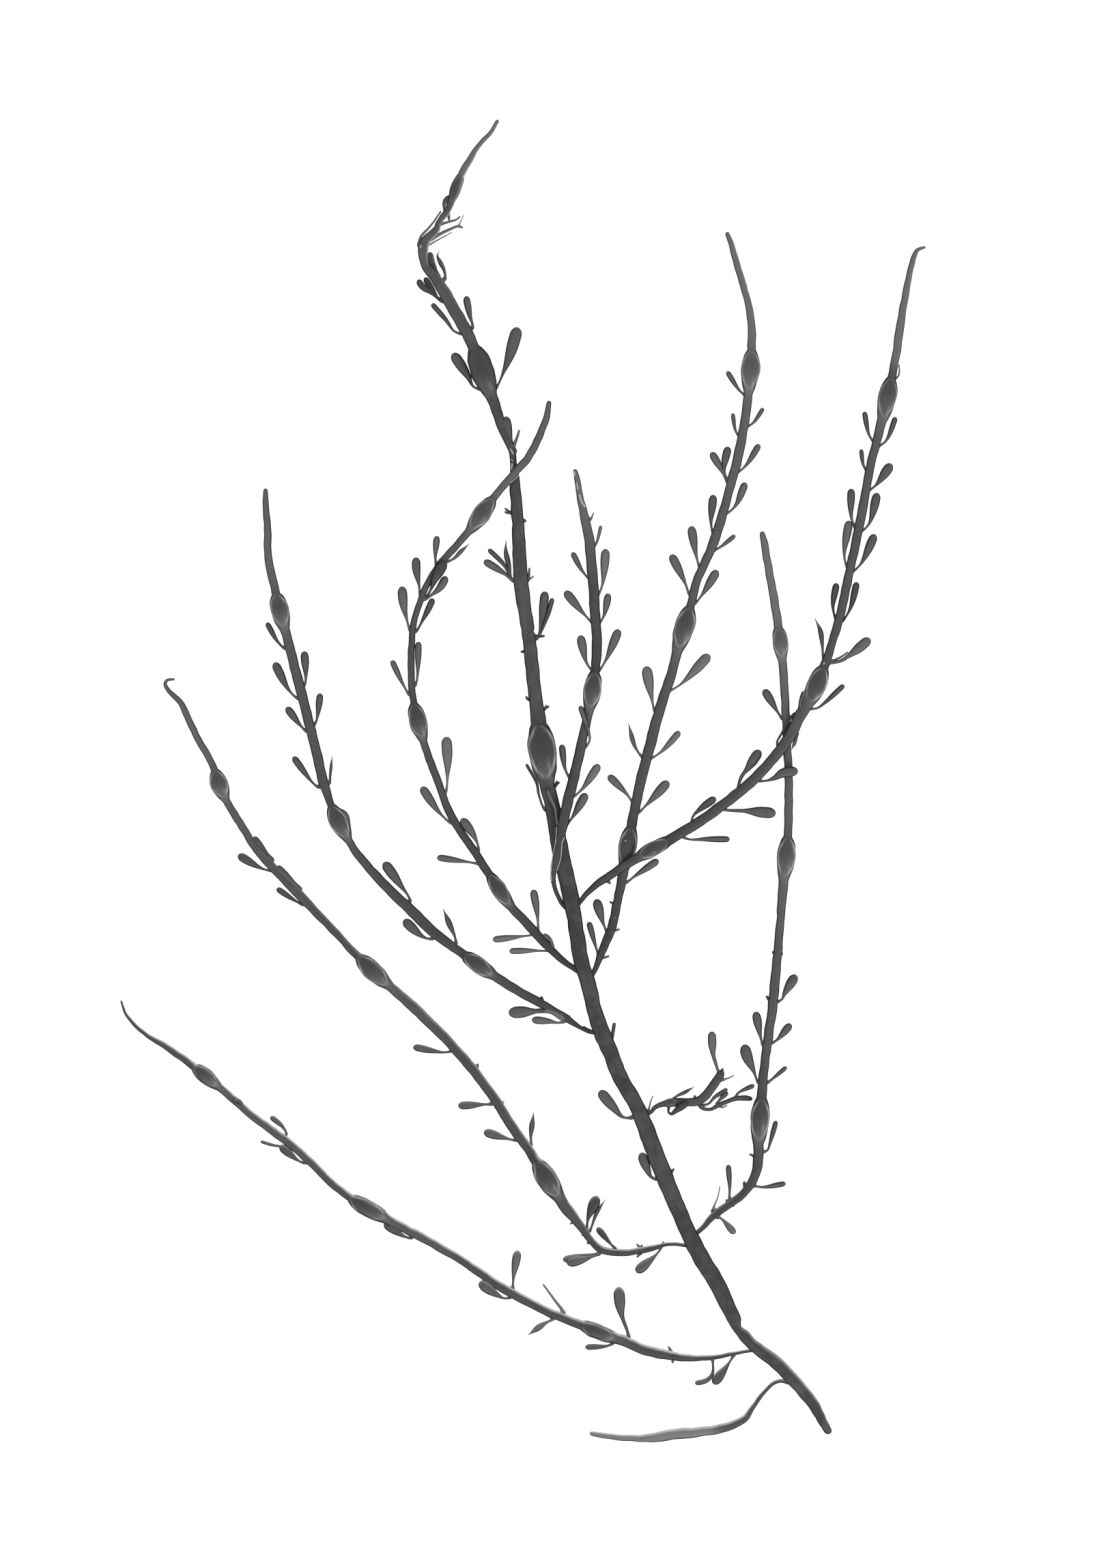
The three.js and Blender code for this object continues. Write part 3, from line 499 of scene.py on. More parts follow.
@dataclass
class Strap:
    """A strap of the frond with its air bladders and all that grows on it.

    Attributes:
        name: The solid that it stands for.
        route: Rows of x, y and width, from root to tip.
        bladders: Rows of x, y, length and width.
        humps: Rows of x, y, height and half length of a rise over another strap.
        nicks: Rows of x, y, depth and half length of a bite out of the nearer margin.
        shoots: Receptacles, hairs and spurs.
        folds: Pale turned-up margins, tears and specks.
        twig: A side twig that is part of the same solid.
        free_root: Whether its first end is free, and not inside another strap.
        worn: Whether its tissue is worn and pale.
        shade: How pale its shoots are.
        node_step: Share by which it pales at each bladder.
        node_rise: Share by which it pales from one bladder to the next.
        tip_shade: How pale its tip is.
        tip_reach: Length over which its tip turns pale, in millimetres.
    """

    name: str
    route: list[tuple[float, float, float]]
    bladders: list[tuple[float, float, float, float]] = field(default_factory=list)
    humps: list[tuple[float, float, float, float]] = field(default_factory=list)
    nicks: list[tuple[float, float, float, float]] = field(default_factory=list)
    shoots: list[Shoot] = field(default_factory=list)
    folds: list[Shoot] = field(default_factory=list)
    twig: Optional["Strap"] = None
    free_root: bool = False
    worn: bool = False
    shade: Shade = Shade.PLAIN
    node_step: float = 0.13
    node_rise: float = 0.3
    tip_shade: Shade = Shade.PALE
    tip_reach: float = 8.0

    def paleness(self, along: np.ndarray, places: np.ndarray) -> np.ndarray:
        """Run the strap's paleness from its dark root to its pale tip.

        Args:
            along: Distances along the strap.
            places: Rows of x and y there.

        Returns:
            Shares of thin, pale tissue.
        """
        begin = 0.0
        step = 0.0
        shares = np.zeros_like(along)
        tip_start = along[-1] - PALE_LENGTH
        for x, y, _, _ in self.bladders:
            end = float(along[nearest(places, x, y)])
            rise = self.node_rise * np.clip((along - begin) / (end - begin), 0.0, 1.0) ** 2
            shares = np.where(along > begin, step + rise, shares)
            tip_start = max(tip_start, end)
            begin = end
            step += self.node_step
        shares = ease(along, np.where(along > begin, step, shares), PALENESS_EASE)
        tip = smooth_step(along, tip_start, tip_start + self.tip_reach)
        return shares + (self.tip_shade.value - shares) * tip

    def ribbon(self, root_height: float) -> Ribbon:
        """Measure the strap along its route.

        Args:
            root_height: Height of the middle of what it grows from.

        Returns:
            The strap as a ribbon.
        """
        rows = np.array(self.route, float)
        along, places = resample(smooth_curve(rows[:, :2]), STRAP_STEP)
        plain = np.interp(places[:, 2], np.arange(len(rows)), rows[:, 2])
        plain = ease(along, plain, WIDTH_EASE) + MARGINS
        closed = closing(along, plain, STRAP_ROUNDING, self.free_root)
        plain *= closed
        thickness = strap_thickness(plain) * closed
        width = plain.copy()
        height = thickness / 2.0
        height += np.maximum(0.0, root_height - height) * settle(along / ROOT_SETTLE)
        fullness = np.zeros_like(along)
        station = np.ones_like(along)
        for x, y, length, full_width in self.bladders:
            beyond = along - along[nearest(places, x, y)]
            reach = length / 2.0 * np.where(beyond > 0.0, SWELL_TIPWARD, SWELL_ROOTWARD)
            share = beyond / reach
            filling = BLADDER_FLATNESS * full_width - strap_thickness(plain)
            width += (full_width - plain) * swell(share)
            thickness += filling * swell(share)
            height += filling / 2.0 * settle(share / SETTLE_REACH)
            fullness = np.maximum(fullness, swell(share))
            station = np.where(np.abs(share) < 1.0, 2.0 * beyond / length, station)
        for x, y, rise, reach in self.humps:
            height += rise * arch((along - along[nearest(places, x, y)]) / reach)
        random = np.random.default_rng(zlib.crc32(self.name.encode()))
        sideways = WAVER_SIDEWAYS * waver(along, random)
        width *= 1.0 + WAVER_WIDTH * waver(along, random)
        ahead = np.gradient(places[:, :2], axis=0)
        left = np.column_stack([-ahead[:, 1], ahead[:, 0]]) / np.linalg.norm(ahead, axis=1, keepdims=True)
        for x, y, depth, reach in self.nicks:
            spot = nearest(places, x, y)
            bite = depth * settle((along - along[spot]) / reach)
            outward = np.dot(np.array([x, y]) - places[spot, :2], left[spot])
            sideways -= np.sign(outward) * bite / 2.0
            width -= bite
        height = np.maximum(height, thickness / 2.0)
        centre = np.column_stack([places[:, :2] + sideways[:, None] * left, height])
        return Ribbon(along, centre, width, thickness, fullness, station, self.paleness(along, places))


MAIN_STEM = Strap(
    name="main_stem",
    free_root=True,
    node_step=0.16,
    node_rise=0.0,
    route=[
        (134.4, -287.2, 2.6), (131.9, -283, 3.7), (126.4, -273, 4.8), (119.6, -265, 5.4),
        (110.4, -255.6, 5.6), (100.4, -247.8, 4.8), (94.5, -240.8, 4.8), (91.6, -235.6, 5.8),
        (84.4, -220.5, 6.8), (77.9, -210, 7.2), (72.7, -200, 6.8), (68.3, -190, 6.8), (59.9, -170, 7.3),
        (56.1, -160, 7.4), (47.9, -140, 6.3), (44.1, -134.2, 6.3), (40.5, -126.8, 6.6),
        (38.1, -120, 6.6), (34.1, -111, 7), (30.4, -100, 6.2), (28.3, -90, 6.4), (25.1, -80, 6.4),
        (21.8, -60, 6.3), (20, -50, 7), (15.6, -30, 6.9), (12, -10, 6.3), (10, -2, 6.4), (6, 27, 6.3),
        (4.3, 40, 5.6), (2.3, 60, 5.6), (0.9, 70, 5.5), (-1.5, 86, 6.1), (-2.8, 110, 5.3),
        (-4.1, 128, 4.5), (-4.9, 140, 2.6), (-5.5, 145, 2.6), (-9.7, 155, 3.6), (-13.7, 167, 4.8),
        (-16.5, 174, 5.5), (-22.5, 191, 4.7), (-27, 200, 5), (-32.6, 210, 5.2), (-38.4, 220, 4.6),
        (-41.4, 223.6, 3.8), (-43.7, 226.6, 3), (-44.5, 230, 3.7), (-44.7, 234, 4.6),
        (-43.4, 237.6, 3.8), (-40.4, 240.8, 3), (-38.5, 243, 2.8), (-38.2, 245, 1.8),
        (-36.4, 247.6, 2.4), (-34.2, 250.4, 2.6), (-32.4, 254, 2.8), (-28.4, 265.4, 3),
        (-24.5, 272.6, 2.8), (-20.4, 279.3, 1.9), (-15, 285.2, 1.6), (-11.4, 290.8, 1.5),
    ],
    bladders=[(7.9, 13, 26, 12.5), (-19.2, 181.4, 22, 10.5), (-29.6, 261, 12, 5)],
    folds=[
        fold(0.6, -6.4, 146.2, -5.4, 144.6, -4.9, 143.5),
        fold(0.5, -6, 141.6, -5, 140.5),
        fold(1, -5.4, 139.8, -5.6, 138, -5.8, 136.6),
        fold(0.6, -45.9, 235.6, -45.6, 234.2),
    ],
    nicks=[(97.2, -238, 1.3, 4.6), (4.8, 66.2, 0.6, 1.4), (-5.6, 113, 0.4, 3), (8, 66, 0.3, 1)],
    shoots=[
        blade(4.4, 57.5, -174.8, 55.6, -174, 53.6, -170, 51.2, -163.4),
        blade(4.8, 46.5, -148, 43, -147.6, 39, -143.4, 32.9, -136.2),
        blade(1.4, 9, -12.5, 6.2, -6, 5.3, -1, 0.6, 7.5),
        blade(4, 5.4, 62.9, 7.3, 70, 9, 83.4),
        blade(2.2, 5.4, 62.9, 9.6, 71.5, 12.3, 80.5),
        blade(3.4, -5.3, 88.3, -9, 91.3, -17.9, 96.9, shade=Shade.LIGHT),
        blade(2.2, -5.3, 88.3, -9, 95, -16, 102),
        spear(2.4, -5.3, 88.3, -7, 95, -8.3, 101, -8.2, 106),
        blade(4, -4.2, 145, -6.1, 150, -8.5, 160.3),
        blade(5.4, -12.6, 172.8, -9, 180.5, -6.6, 187, -3, 199.5),
        blade(4.7, -20, 172.3, -22.6, 173.4, -25, 178, -31.6, 188.1),
        blade(3.2, -23, 199.4, -24.2, 205, -25.8, 213.3),
        blade(2.4, -28, 196.8, -31, 197.8, -34.5, 202.6, -40.9, 210),
        blade(3, -36.4, 211, -41.1, 214.9, -45, 217.5, -47, 220.5, shade=Shade.DIM),
        blade(2.8, -37.4, 211.8, -40.3, 215.7, -42.5, 219.1, -44, 221.4, shade=Shade.DARK),
        blade(3.4, -37.7, 221.8, -39.4, 225.4, -41.2, 229, -41.7, 232.6, shade=Shade.DARK),
        spear(2.1, -35.1, 221, -35.3, 224.3, -36.9, 227.8, -38.4, 231.2, -37.4, 233.2),
        spear(2.2, -35, 250, -35.5, 253.4, -34.4, 256, -32.2, 258.4),
        hair(1.8, -44.6, 235.6, -40.3, 238.6, -36.4, 241, -31.9, 243.1, -29.4, 244, -27, 243.3),
        hair(1.3, -46.4, 235.4, -45.7, 239.3, -42.4, 243.1, -39.8, 246.3, -37.8, 249.3, -36.8, 250.8),
        hair(1.4, -38.4, 244.2, -36.4, 245, -33, 246.1, -30, 247, -28.2, 248.5),
        fork(0.7, -29.2, 244, -28, 246.4, -26.6, 249.2),
        fork(0.8, -42.6, 235.4, -38.4, 237.9, -34.7, 239.9, -32, 241.4),
        hair(0.8, 54.2, -145, 55.4, -141, 56.6, -138.3),
        hair(1.5, 1.2, 88.4, 2.2, 93.9),
        hair(1.1, 1.2, 88.4, 4.1, 90.1),
        hair(1.6, -5, 147.5, -3.2, 151.5, -2.3, 154.6),
        spur(1.6, 38, -113, 39.6, -106.2),
        spur(1.2, 5, 63.4, 9, 63.8),
        spur(1.2, -33.6, 249.6, -33.2, 246.6),
        spur(0.9, -36.4, 248.2, -36.1, 249.8),
        spur(1.2, 63.5, -173, 65.9, -170.4),
        spur(1, 13, -2.4, 14.2, -1.4, 15.4, -0.3),
        spur(1, 13.4, -2, 14, -0.9, 14.2, 0.2),
        spur(1.1, 8, 31.2, 9.4, 32.2, 10.9, 33),
        spur(0.8, 8.6, 31.6, 9.3, 32.6, 9.6, 33.5),
        spur(1.1, 2.4, 35.8, 1.2, 36.2, 0.5, 37.4),
        spur(1, 0.2, 57, -1.9, 56.8),
        spur(1, -5, 117.8, -7, 118.6, -8.8, 120.1),
        spur(0.9, -6, 118, -8, 118, -8.9, 118.6),
        spur(0.9, -0.3, 114.5, 0.9, 114.3),
    ],
)

BRANCHES = [
    Strap(
        name="lowest_bare_branch",
        worn=True,
        route=[
            (116, -264.4, 1.5), (112, -263.7, 1.4), (109, -265, 1.4), (104.7, -269.4, 1.5),
            (100.8, -274.7, 1.7), (97.1, -280, 2.8), (90.2, -283.7, 3.6), (76, -286.3, 4.1),
            (69, -286.7, 4.7), (62, -287.8, 4.5), (56, -288.7, 3.9), (50, -289.1, 2.6),
            (38, -288.3, 2.3), (28.6, -286.8, 1.9),
        ],
        folds=[fold(0.7, 76.2, -284.4, 77, -284.2)],
    ),
    Strap(
        name="low_left_branch",
        tip_shade=Shade.DIM,
        route=[
            (101.5, -250, 1.1), (95, -251.1, 1.2), (84, -253.2, 1.8), (76, -253.8, 2.4),
            (68, -253.3, 3.4), (60, -251.8, 4.3), (52, -249.8, 4.2), (44, -246.2, 4.4),
            (38, -244.2, 4.6), (25, -239.1, 3.9), (10, -233.3, 3.6), (-10, -222.5, 3.8),
            (-30, -209.4, 3.2), (-40, -203.5, 3.5), (-60, -192.8, 4), (-80, -180.8, 3.2),
            (-100, -162.2, 3.4), (-120, -146.9, 3.2), (-134.2, -134.6, 3.2), (-146.2, -124.9, 3.2),
            (-160, -115.4, 2.4), (-166, -111.8, 1.7), (-173, -105.6, 1.3), (-176, -101.6, 0.9),
            (-177.5, -96.3, 0.5),
        ],
        bladders=[(31.8, -241.2, 16, 6.8), (-69.3, -187.6, 19, 7.6), (-139.8, -129.4, 14, 6.8)],
        shoots=[
            blade(4.4, 91.8, -252.6, 89.8, -256, 83, -265.2, shade=Shade.DIM),
            blade(2.4, 82.7, -254.4, 82.6, -260.6, 80, -263.6, 74.9, -264.9),
            spoon(5, 45.6, -244, 42.5, -234, 41.3, -222.4),
            blade(2.6, 38.5, -247.2, 36, -248.4, 26.6, -249),
            spear(2.9, 12.2, -236.6, 8.5, -238.7, 1.4, -243.7, shade=Shade.LIGHT),
            blade(3.8, -5.3, -222.8, -4.9, -218, -3, -206.4, shade=Shade.LIGHT),
            blade(4.8, -6.5, -227, -9, -227.4, -12, -226, -20, -220.3),
            blade(4, -50, -200.8, -53, -200.2, -61.8, -194.4, shade=Shade.DIM),
            blade(2.5, -105.3, -156, -104.8, -155, -106.5, -152, -111.8, -147.5),
            blade(3.8, -96.8, -167.8, -99, -167.2, -107.7, -160.4, shade=Shade.DIM),
            blade(1.5, -104, -160.5, -110, -160.3, -116.3, -158.5),
            raised_blade(2, 2, -125.6, -143.4, -127.4, -140.6, -126, -140.4, -124.2, -142),
            hair(1.5, 16.8, -233.4, 13, -228, 8, -221.2),
            spur(1, 64.2, -250.6, 63.2, -248.6),
            spur(1, 65.3, -253.8, 65, -256.2),
        ],
    ),
    Strap(
        name="second_left_branch",
        tip_shade=Shade.LIGHT,
        route=[
            (74, -204.6, 1.5), (68, -203.8, 1.2), (64, -203.6, 1.2), (60, -204.3, 1.5),
            (55, -205.6, 2.5), (44, -207.4, 2.8), (38, -207, 3), (32.8, -205.5, 3), (28.9, -201.8, 2.8),
            (26.1, -198, 3.2), (21.9, -192, 4.1), (18.1, -187.4, 5.2), (2.7, -163.5, 3.9),
            (-6.8, -150, 4.1), (-12.8, -140.1, 4), (-28.3, -120.3, 4), (-47.8, -100.4, 4.3),
            (-59.2, -90.4, 3.8), (-75.2, -75.2, 3.2), (-79.7, -70.4, 2.9), (-89.8, -59.7, 3.3),
            (-100, -49, 4), (-110, -38.8, 3.4), (-117.4, -30.7, 3.2), (-123.6, -21.1, 3),
            (-130.8, -9.3, 3), (-138.3, 9, 2.8), (-144.4, 19.8, 2.6), (-148.9, 29.7, 2.7),
            (-151.4, 34.6, 2.3), (-156.7, 39.9, 1.7), (-158.2, 42.6, 1.2), (-157.5, 44.3, 1),
            (-153.9, 44.7, 0.6),
        ],
        bladders=[(9.7, -174.2, 19, 9.2), (-67, -83, 19, 8.3), (-134.6, -1.1, 14, 7.7)],
        shoots=[
            blade(4.5, 60, -204.8, 58.6, -207.4, 49, -216),
            blade(3, 39.6, -205.4, 38, -203.7, 31.9, -196.4, shade=Shade.DARK),
            blade(4.6, 32.5, -208, 28, -209.6, 18.4, -212),
            blade(3.2, 32.8, -207.4, 27, -208.6, 16.8, -210.6),
            blade(4.9, 27, -196.8, 28, -192, 32, -182.5, shade=Shade.DARK),
            spear(1.8, 28.5, -197.8, 31.6, -190.2, 35.6, -183.8),
            spear(2.5, 2.7, -159.8, 2.7, -156, 4, -145.6),
            blade(4, -4.2, -157.8, -8.5, -157, -18, -154.2),
            blade(3.6, -15, -142, -18, -142.2, -29.3, -142.8),
            blade(3.2, -32.2, -118.6, -35, -119.3, -39, -118.9, -49.1, -116.9),
            blade(2.7, -97.5, -54.3, -101, -52.6, -109.1, -47.2, shade=Shade.DIM),
            blade(3.8, -111.5, -39.3, -115.5, -38.5, -126.1, -32.5, shade=Shade.DIM),
            blade(2.6, -111, -34.5, -113.7, -31.4, -119.2, -24.5),
            blade(2.4, -98.7, -47.4, -102, -43.9, -108.8, -37.3),
            spur(1, 51, -206, 50.2, -204.6, 49.2, -203.6),
            spur(0.9, 51.6, -206, 51.4, -204.6, 51.8, -203.8),
            spur(0.9, 51, -207.6, 49.2, -209.6),
            spur(0.8, 61, -203.8, 61, -202.4),
            spur(1, 30.6, -204.2, 31.8, -202.6),
            spur(1, 28.6, -202.8, 27.2, -203.4),
            spur(1, 28, -200.4, 29.6, -200),
            spur(0.9, 27, -199, 25, -200),
            spur(0.9, 22.2, -193.2, 20, -195),
            spur(0.9, -10.4, -142, -9, -141),
            spur(0.9, -21, -125.5, -20.5, -124.2),
        ],
    ),
    Strap(
        name="low_right_branch",
        node_step=0.24,
        route=[
            (73.8, -200.2, 1.5), (79, -195.5, 2), (83, -191.2, 2.9), (92, -184.8, 3.2),
            (96, -181.4, 3.2), (99.5, -177, 3.6), (101.8, -172, 3.9), (102.7, -166, 4.1),
            (102.8, -158.5, 4.3), (104.1, -139, 4), (106.1, -120, 3.6), (108.9, -100, 4),
            (110.9, -80, 3.8), (112.6, -60, 3.3), (114.1, -42, 4), (115.8, -22, 3.4), (116.1, 0, 3.3),
            (115.3, 20, 3.2), (113.5, 51, 3.3), (111.1, 71, 3.5), (107.9, 90, 3.2), (105.3, 105, 2.9),
            (104.4, 109.9, 1.9),
        ],
        bladders=[(103.2, -148.8, 20, 8.4), (115, -33, 19, 8.1), (112, 61.2, 14, 7)],
        shoots=[
            blade(3.1, 85, -191.5, 86.8, -192.7, 92.6, -199.1, shade=Shade.LIGHT),
            blade(2.5, 90.3, -184, 90.2, -178, 89.6, -168.7),
            blade(2.5, 101, -178, 105, -178.6, 114.9, -177),
            blade(2.3, 105, -163, 106.8, -162.3, 108, -159, 110.7, -149.4),
            blade(2, 106.8, -132.5, 109, -131, 115.3, -125.7),
            blade(5, 102.9, -132.6, 100.6, -127.2, 97.8, -121, 96.6, -115.8),
            blade(3.9, 104.9, -116, 104, -113.5, 101.6, -101.4),
            blade(3.5, 108.8, -115, 110.8, -114, 117.2, -106.8),
            blade(4.4, 111.2, -97, 113.3, -95.8, 114.3, -93.5, 119.4, -85.2),
            blade(3.8, 113.3, 27.6, 111.5, 30, 108.5, 35, 105.2, 40.3),
            spur(1.5, 97.2, -179.6, 96.5, -176),
            spur(1.2, 108.4, -97.4, 106.2, -94.4),
            hair(0.8, 83.2, -188, 85, -183, 86, -178),
            spur(0.9, 83, -190.5, 82.2, -188.3),
            spur(0.9, 85.3, -191, 84.7, -192.9),
            spur(0.9, 89.2, -186.2, 88.8, -183.8),
            spur(0.9, 91.5, -186.5, 92.2, -187.3),
            spur(0.9, 101.3, -165.4, 100, -164.6, 98.8, -164),
            spur(0.9, 109.8, -75.5, 108.8, -75),
            spur(0.9, 113.3, -76, 113.8, -76),
        ],
    ),
    Strap(
        name="broken_right_branch",
        tip_shade=Shade.DIM,
        route=[
            (52, -147.8, 1.4), (55.5, -145.4, 1.3), (57, -143.6, 1.6), (60, -142.1, 2),
            (63, -141.6, 2.9), (66, -141.3, 3.3), (72, -141.2, 3.3), (76.5, -140.6, 3.4),
            (79.4, -138.4, 3.5), (83.5, -133, 3.5), (85.8, -129.6, 3.4), (86.7, -127, 2.8),
        ],
        bladders=[(64.6, -141.4, 4.4, 4)],
        shoots=[
            spoon(3.8, 85.6, -128.4, 84, -124, 82.9, -120, 82.3, -110.1, shade=Shade.LIGHT),
            spear(1.7, 64.9, -140.4, 66.9, -138.5, 69.9, -137.2, 74.8, -134.4),
            raised_blade(
                2, 3.2, 63.4, -143, 63.2, -145.4, 64.4, -146.3, 67, -144.4, 71.8, -141.1, shade=Shade.DARK,
            ),
            hair(0.9, 87, -131.4, 89.6, -130.7, 92.2, -129.4),
            spur(0.9, 63.8, -140.6, 63.6, -139.6),
            spur(0.9, 65.8, -140.4, 66.2, -139.4),
            spur(0.9, 75, -139.8, 74.8, -138.1),
            spur(0.9, 76.4, -139.6, 76.6, -138.5),
            spur(1, 79, -138, 78.6, -136.6),
            spur(1.1, 86.6, -128.6, 87.2, -126.2),
            spur(1.1, 86.6, -130.6, 87.6, -132),
        ],
        twig=Strap(
            name="broken_right_twig",
            tip_shade=Shade.DIM,
            route=[
                (76.5, -140.8, 1.8), (77.5, -143.2, 1.5), (78.8, -144.2, 1.2), (82, -144.3, 1),
                (84.8, -142.8, 1.7), (87.8, -141.4, 1.5), (92.1, -139.8, 1.7), (95.1, -139.4, 1.8),
                (98.2, -139.4, 2.5), (100.3, -139.9, 0.8),
            ],
            shoots=[
                blade(1.9, 78.2, -142.9, 81, -141.9, 83.6, -139.1, 89.3, -135.4),
                blade(2.2, 84.6, -142.2, 86.4, -139.6, 89.4, -136.8),
                blade(2.1, 93, -139.2, 93.6, -137.6, 95, -136.5, 101.1, -133.8),
                hair(0.9, 85.2, -142.8, 87, -143.6, 89.3, -142.6),
            ],
        ),
    ),
    Strap(
        name="third_left_branch",
        tip_shade=Shade.LIGHT,
        route=[
            (32.5, -111.2, 1.6), (28, -110, 1.4), (25, -108.7, 1.4), (22, -106.7, 1.9),
            (19.2, -104.8, 3), (16.6, -103, 2.8), (12, -100.4, 2.4), (7.6, -98, 3.4), (-3, -92.3, 3.7),
            (-13.5, -85.5, 3.8), (-29, -74.8, 3.6), (-40, -66.4, 4.3), (-50, -56.8, 4.4),
            (-60, -47.4, 3.9), (-70, -36.5, 3.5), (-74.8, -30.4, 3.2), (-78, -24.9, 3),
            (-85.4, -10, 2.7), (-87, -5, 3.4), (-88.8, 0, 4.1), (-90.9, 10, 4.1), (-96, 30, 4.1),
            (-101.2, 50, 4), (-105.5, 67, 3.8), (-110, 85, 3.4), (-112.7, 97, 3.2), (-113.2, 112, 2.9),
            (-114.1, 124, 2.2), (-114.1, 128.8, 1.4),
        ],
        bladders=[(-20.3, -80.9, 16, 7.3), (-82.2, -17.6, 17, 8.2), (-107.6, 74.8, 16, 8.2)],
        shoots=[
            spoon(5.2, 14, -102.4, 10, -101, 5, -101.2, -7.1, -101.9),
            hair(2.9, 16.4, -103.6, 11.4, -101.2, 6, -101.1, 1, -101.7),
            blade(3.4, 17, -105.8, 14.5, -106.3, 11, -105.7, 3.1, -105, shade=Shade.LIGHT),
            spear(2.7, -30.3, -71.2, -30.7, -68.5, -32.8, -63.6, -35.9, -56.2),
            blade(4.4, -40.8, -69.3, -44.5, -68.6, -53.3, -61.1),
            blade(4.6, -50.5, -52.7, -51.2, -50.5, -54.3, -46.2, -61.9, -35.7),
            blade(3.1, -90.8, -2.5, -93, -1, -101.9, 10.7),
            spear(1.4, -86, -0.7, -85.5, 3, -84.7, 11.5),
            blade(3.5, -96.2, 22.2, -98.6, 24.4, -104.8, 32.5),
            blade(3.1, -92.6, 25, -91.6, 26.6, -89.9, 38.6),
            blade(4, -100, 36.6, -103.5, 39.7, -110.1, 52.1),
            blade(3.6, -97.3, 41.8, -96.4, 43.6, -96.9, 57.1),
            blade(2.5, -105.7, 58.6, -108.6, 61.2, -113.5, 69.7),
            wing(3, -76.5, -23.1, -77.3, -18.6, -79.3, -14.6, -82.8, -11.2),
            spur(1.7, 7.6, -98, 7.3, -94.6),
            spur(1.2, 19, -105, 19.8, -103),
            spur(0.9, 29, -110, 27.2, -108.9, 25.6, -107.9),
        ],
    ),
    Strap(
        name="fourth_left_branch",
        shade=Shade.LIGHT,
        tip_shade=Shade.LIGHT,
        route=[
            (25, -84.4, 2.1), (19, -80.5, 2.3), (15, -77.5, 2.7), (8, -70.2, 3.7), (0.3, -61.9, 3.6),
            (-5.9, -55.3, 3.4), (-16.3, -40, 3.3), (-22.6, -30.3, 3.3), (-29.4, -20.2, 3.2),
            (-33.7, -12.2, 3.2), (-38.3, 0, 3), (-44.1, 16, 3), (-48.8, 35, 2.7), (-50, 47, 2.7),
            (-49.3, 66, 2.5), (-48.1, 72.3, 2.4), (-43, 86.3, 2.4), (-37.7, 94.8, 2.7),
            (-28.9, 104.8, 2.8), (-24.5, 109.8, 3), (-12.9, 125.2, 3), (-3.8, 136.1, 3),
            (0.6, 140.7, 3.1), (3.4, 145.3, 3.1), (8.7, 157, 2.7), (10, 162, 2.4), (10.9, 167.4, 1.7),
        ],
        bladders=[(-11.2, -47.4, 17, 6.8), (-47, 26.6, 17, 8), (-18.7, 117.4, 18, 7.9)],
        humps=[(-3.5, 136, 2.6, 21)],
        folds=[
            fold(0.4, -6.4, 130.8, -4.6, 132.4, -2.6, 134.4),
            fold(0.5, -28.2, 104.6, -27.8, 104.9),
        ],
        shoots=[
            blade(3.5, 5.7, -65.5, 5.7, -60, 3.8, -47.7),
            blade(3, 4, -67.4, -2, -68.4, -14.1, -69.8, shade=Shade.PALE),
            blade(2.8, 11, -74.6, 4, -74.6, -6.8, -74.8, shade=Shade.PALE),
            raised_blade(1.6, 2.2, 12.2, -72.4, 11.4, -70, 8.2, -67.3),
            blade(3, -20.6, -36.2, -25, -35.6, -38.6, -33.6),
            blade(4.2, -20.4, -30.4, -20.6, -28, -22.4, -24, -27.8, -16.5),
            blade(4, -32.6, -18.2, -37.4, -14, -45.4, -2.6),
            blade(4.8, -34.9, -5, -33.9, 5, -34.4, 19.5, shade=Shade.PALE),
            blade(2.7, -50.8, 38.2, -53.5, 42.5, -58.5, 53.1),
            blade(3, -48.4, 42, -47.4, 44.5, -46.7, 61.3),
            blade(4.3, -50.2, 66, -52.1, 72, -53.3, 77.7, -54, 85.6),
            blade(2.9, -47.8, 66, -44.6, 71.3, -42.4, 75.6, -40.2, 80.3, shade=Shade.DIM),
            blade(3.9, -45.8, 81.6, -46.5, 86.3, -47.6, 92.7, -47.8, 98.4, shade=Shade.PLAIN),
            blade(3.6, -44, 80, -40.3, 82.3, -37.3, 85, -34.3, 90),
            raised_blade(
                1.7, 4.8, -43.4, 81, -41.1, 84.6, -39.4, 88.9, -37.3, 92.7, -35, 96.7, shade=Shade.DARK,
            ),
            spear(1.9, -34.6, 96.4, -31.2, 97.8, -28.2, 100.8, -24.2, 104.5),
            blade(3, -38.8, 94.8, -39.3, 98, -38.6, 107.8),
        ],
    ),
    Strap(
        name="mid_right_branch",
        node_step=0.2,
        shade=Shade.LIGHT,
        route=[
            (28, -88.4, 1.4), (32.2, -80, 2.2), (33.9, -75, 3.2), (37.8, -66, 3.7), (41.4, -50, 3.4),
            (43, -42, 3.9), (47.2, -18.6, 4), (51.1, 0, 4.2), (56, 19, 4.5), (59, 30, 4.3),
            (65.4, 50, 3.9), (67.1, 57, 4.1), (73.1, 77.6, 3.5), (76.3, 89.5, 3.4), (80, 97.5, 3.6),
            (84.6, 109, 4), (89.4, 126, 3.5), (93.3, 140, 3.9), (97.1, 160, 3.7), (98.4, 171, 3.5),
            (99.8, 191, 3.5), (99.9, 200, 3.1), (98.1, 210.5, 2.8), (92.7, 230, 2.5), (90.7, 237, 2.3),
            (88.9, 241.6, 1.4),
        ],
        bladders=[(45.2, -28.8, 19, 8), (70, 67.4, 20, 8.9), (99, 181.2, 19, 8.3)],
        folds=[
            fold(0.8, 44, -26.4, 44.6, -25.9),
            fold(0.5, 43.8, -24, 44.1, -23.6),
            fold(0.5, 39.4, -60.2, 39.6, -59.8),
        ],
        shoots=[
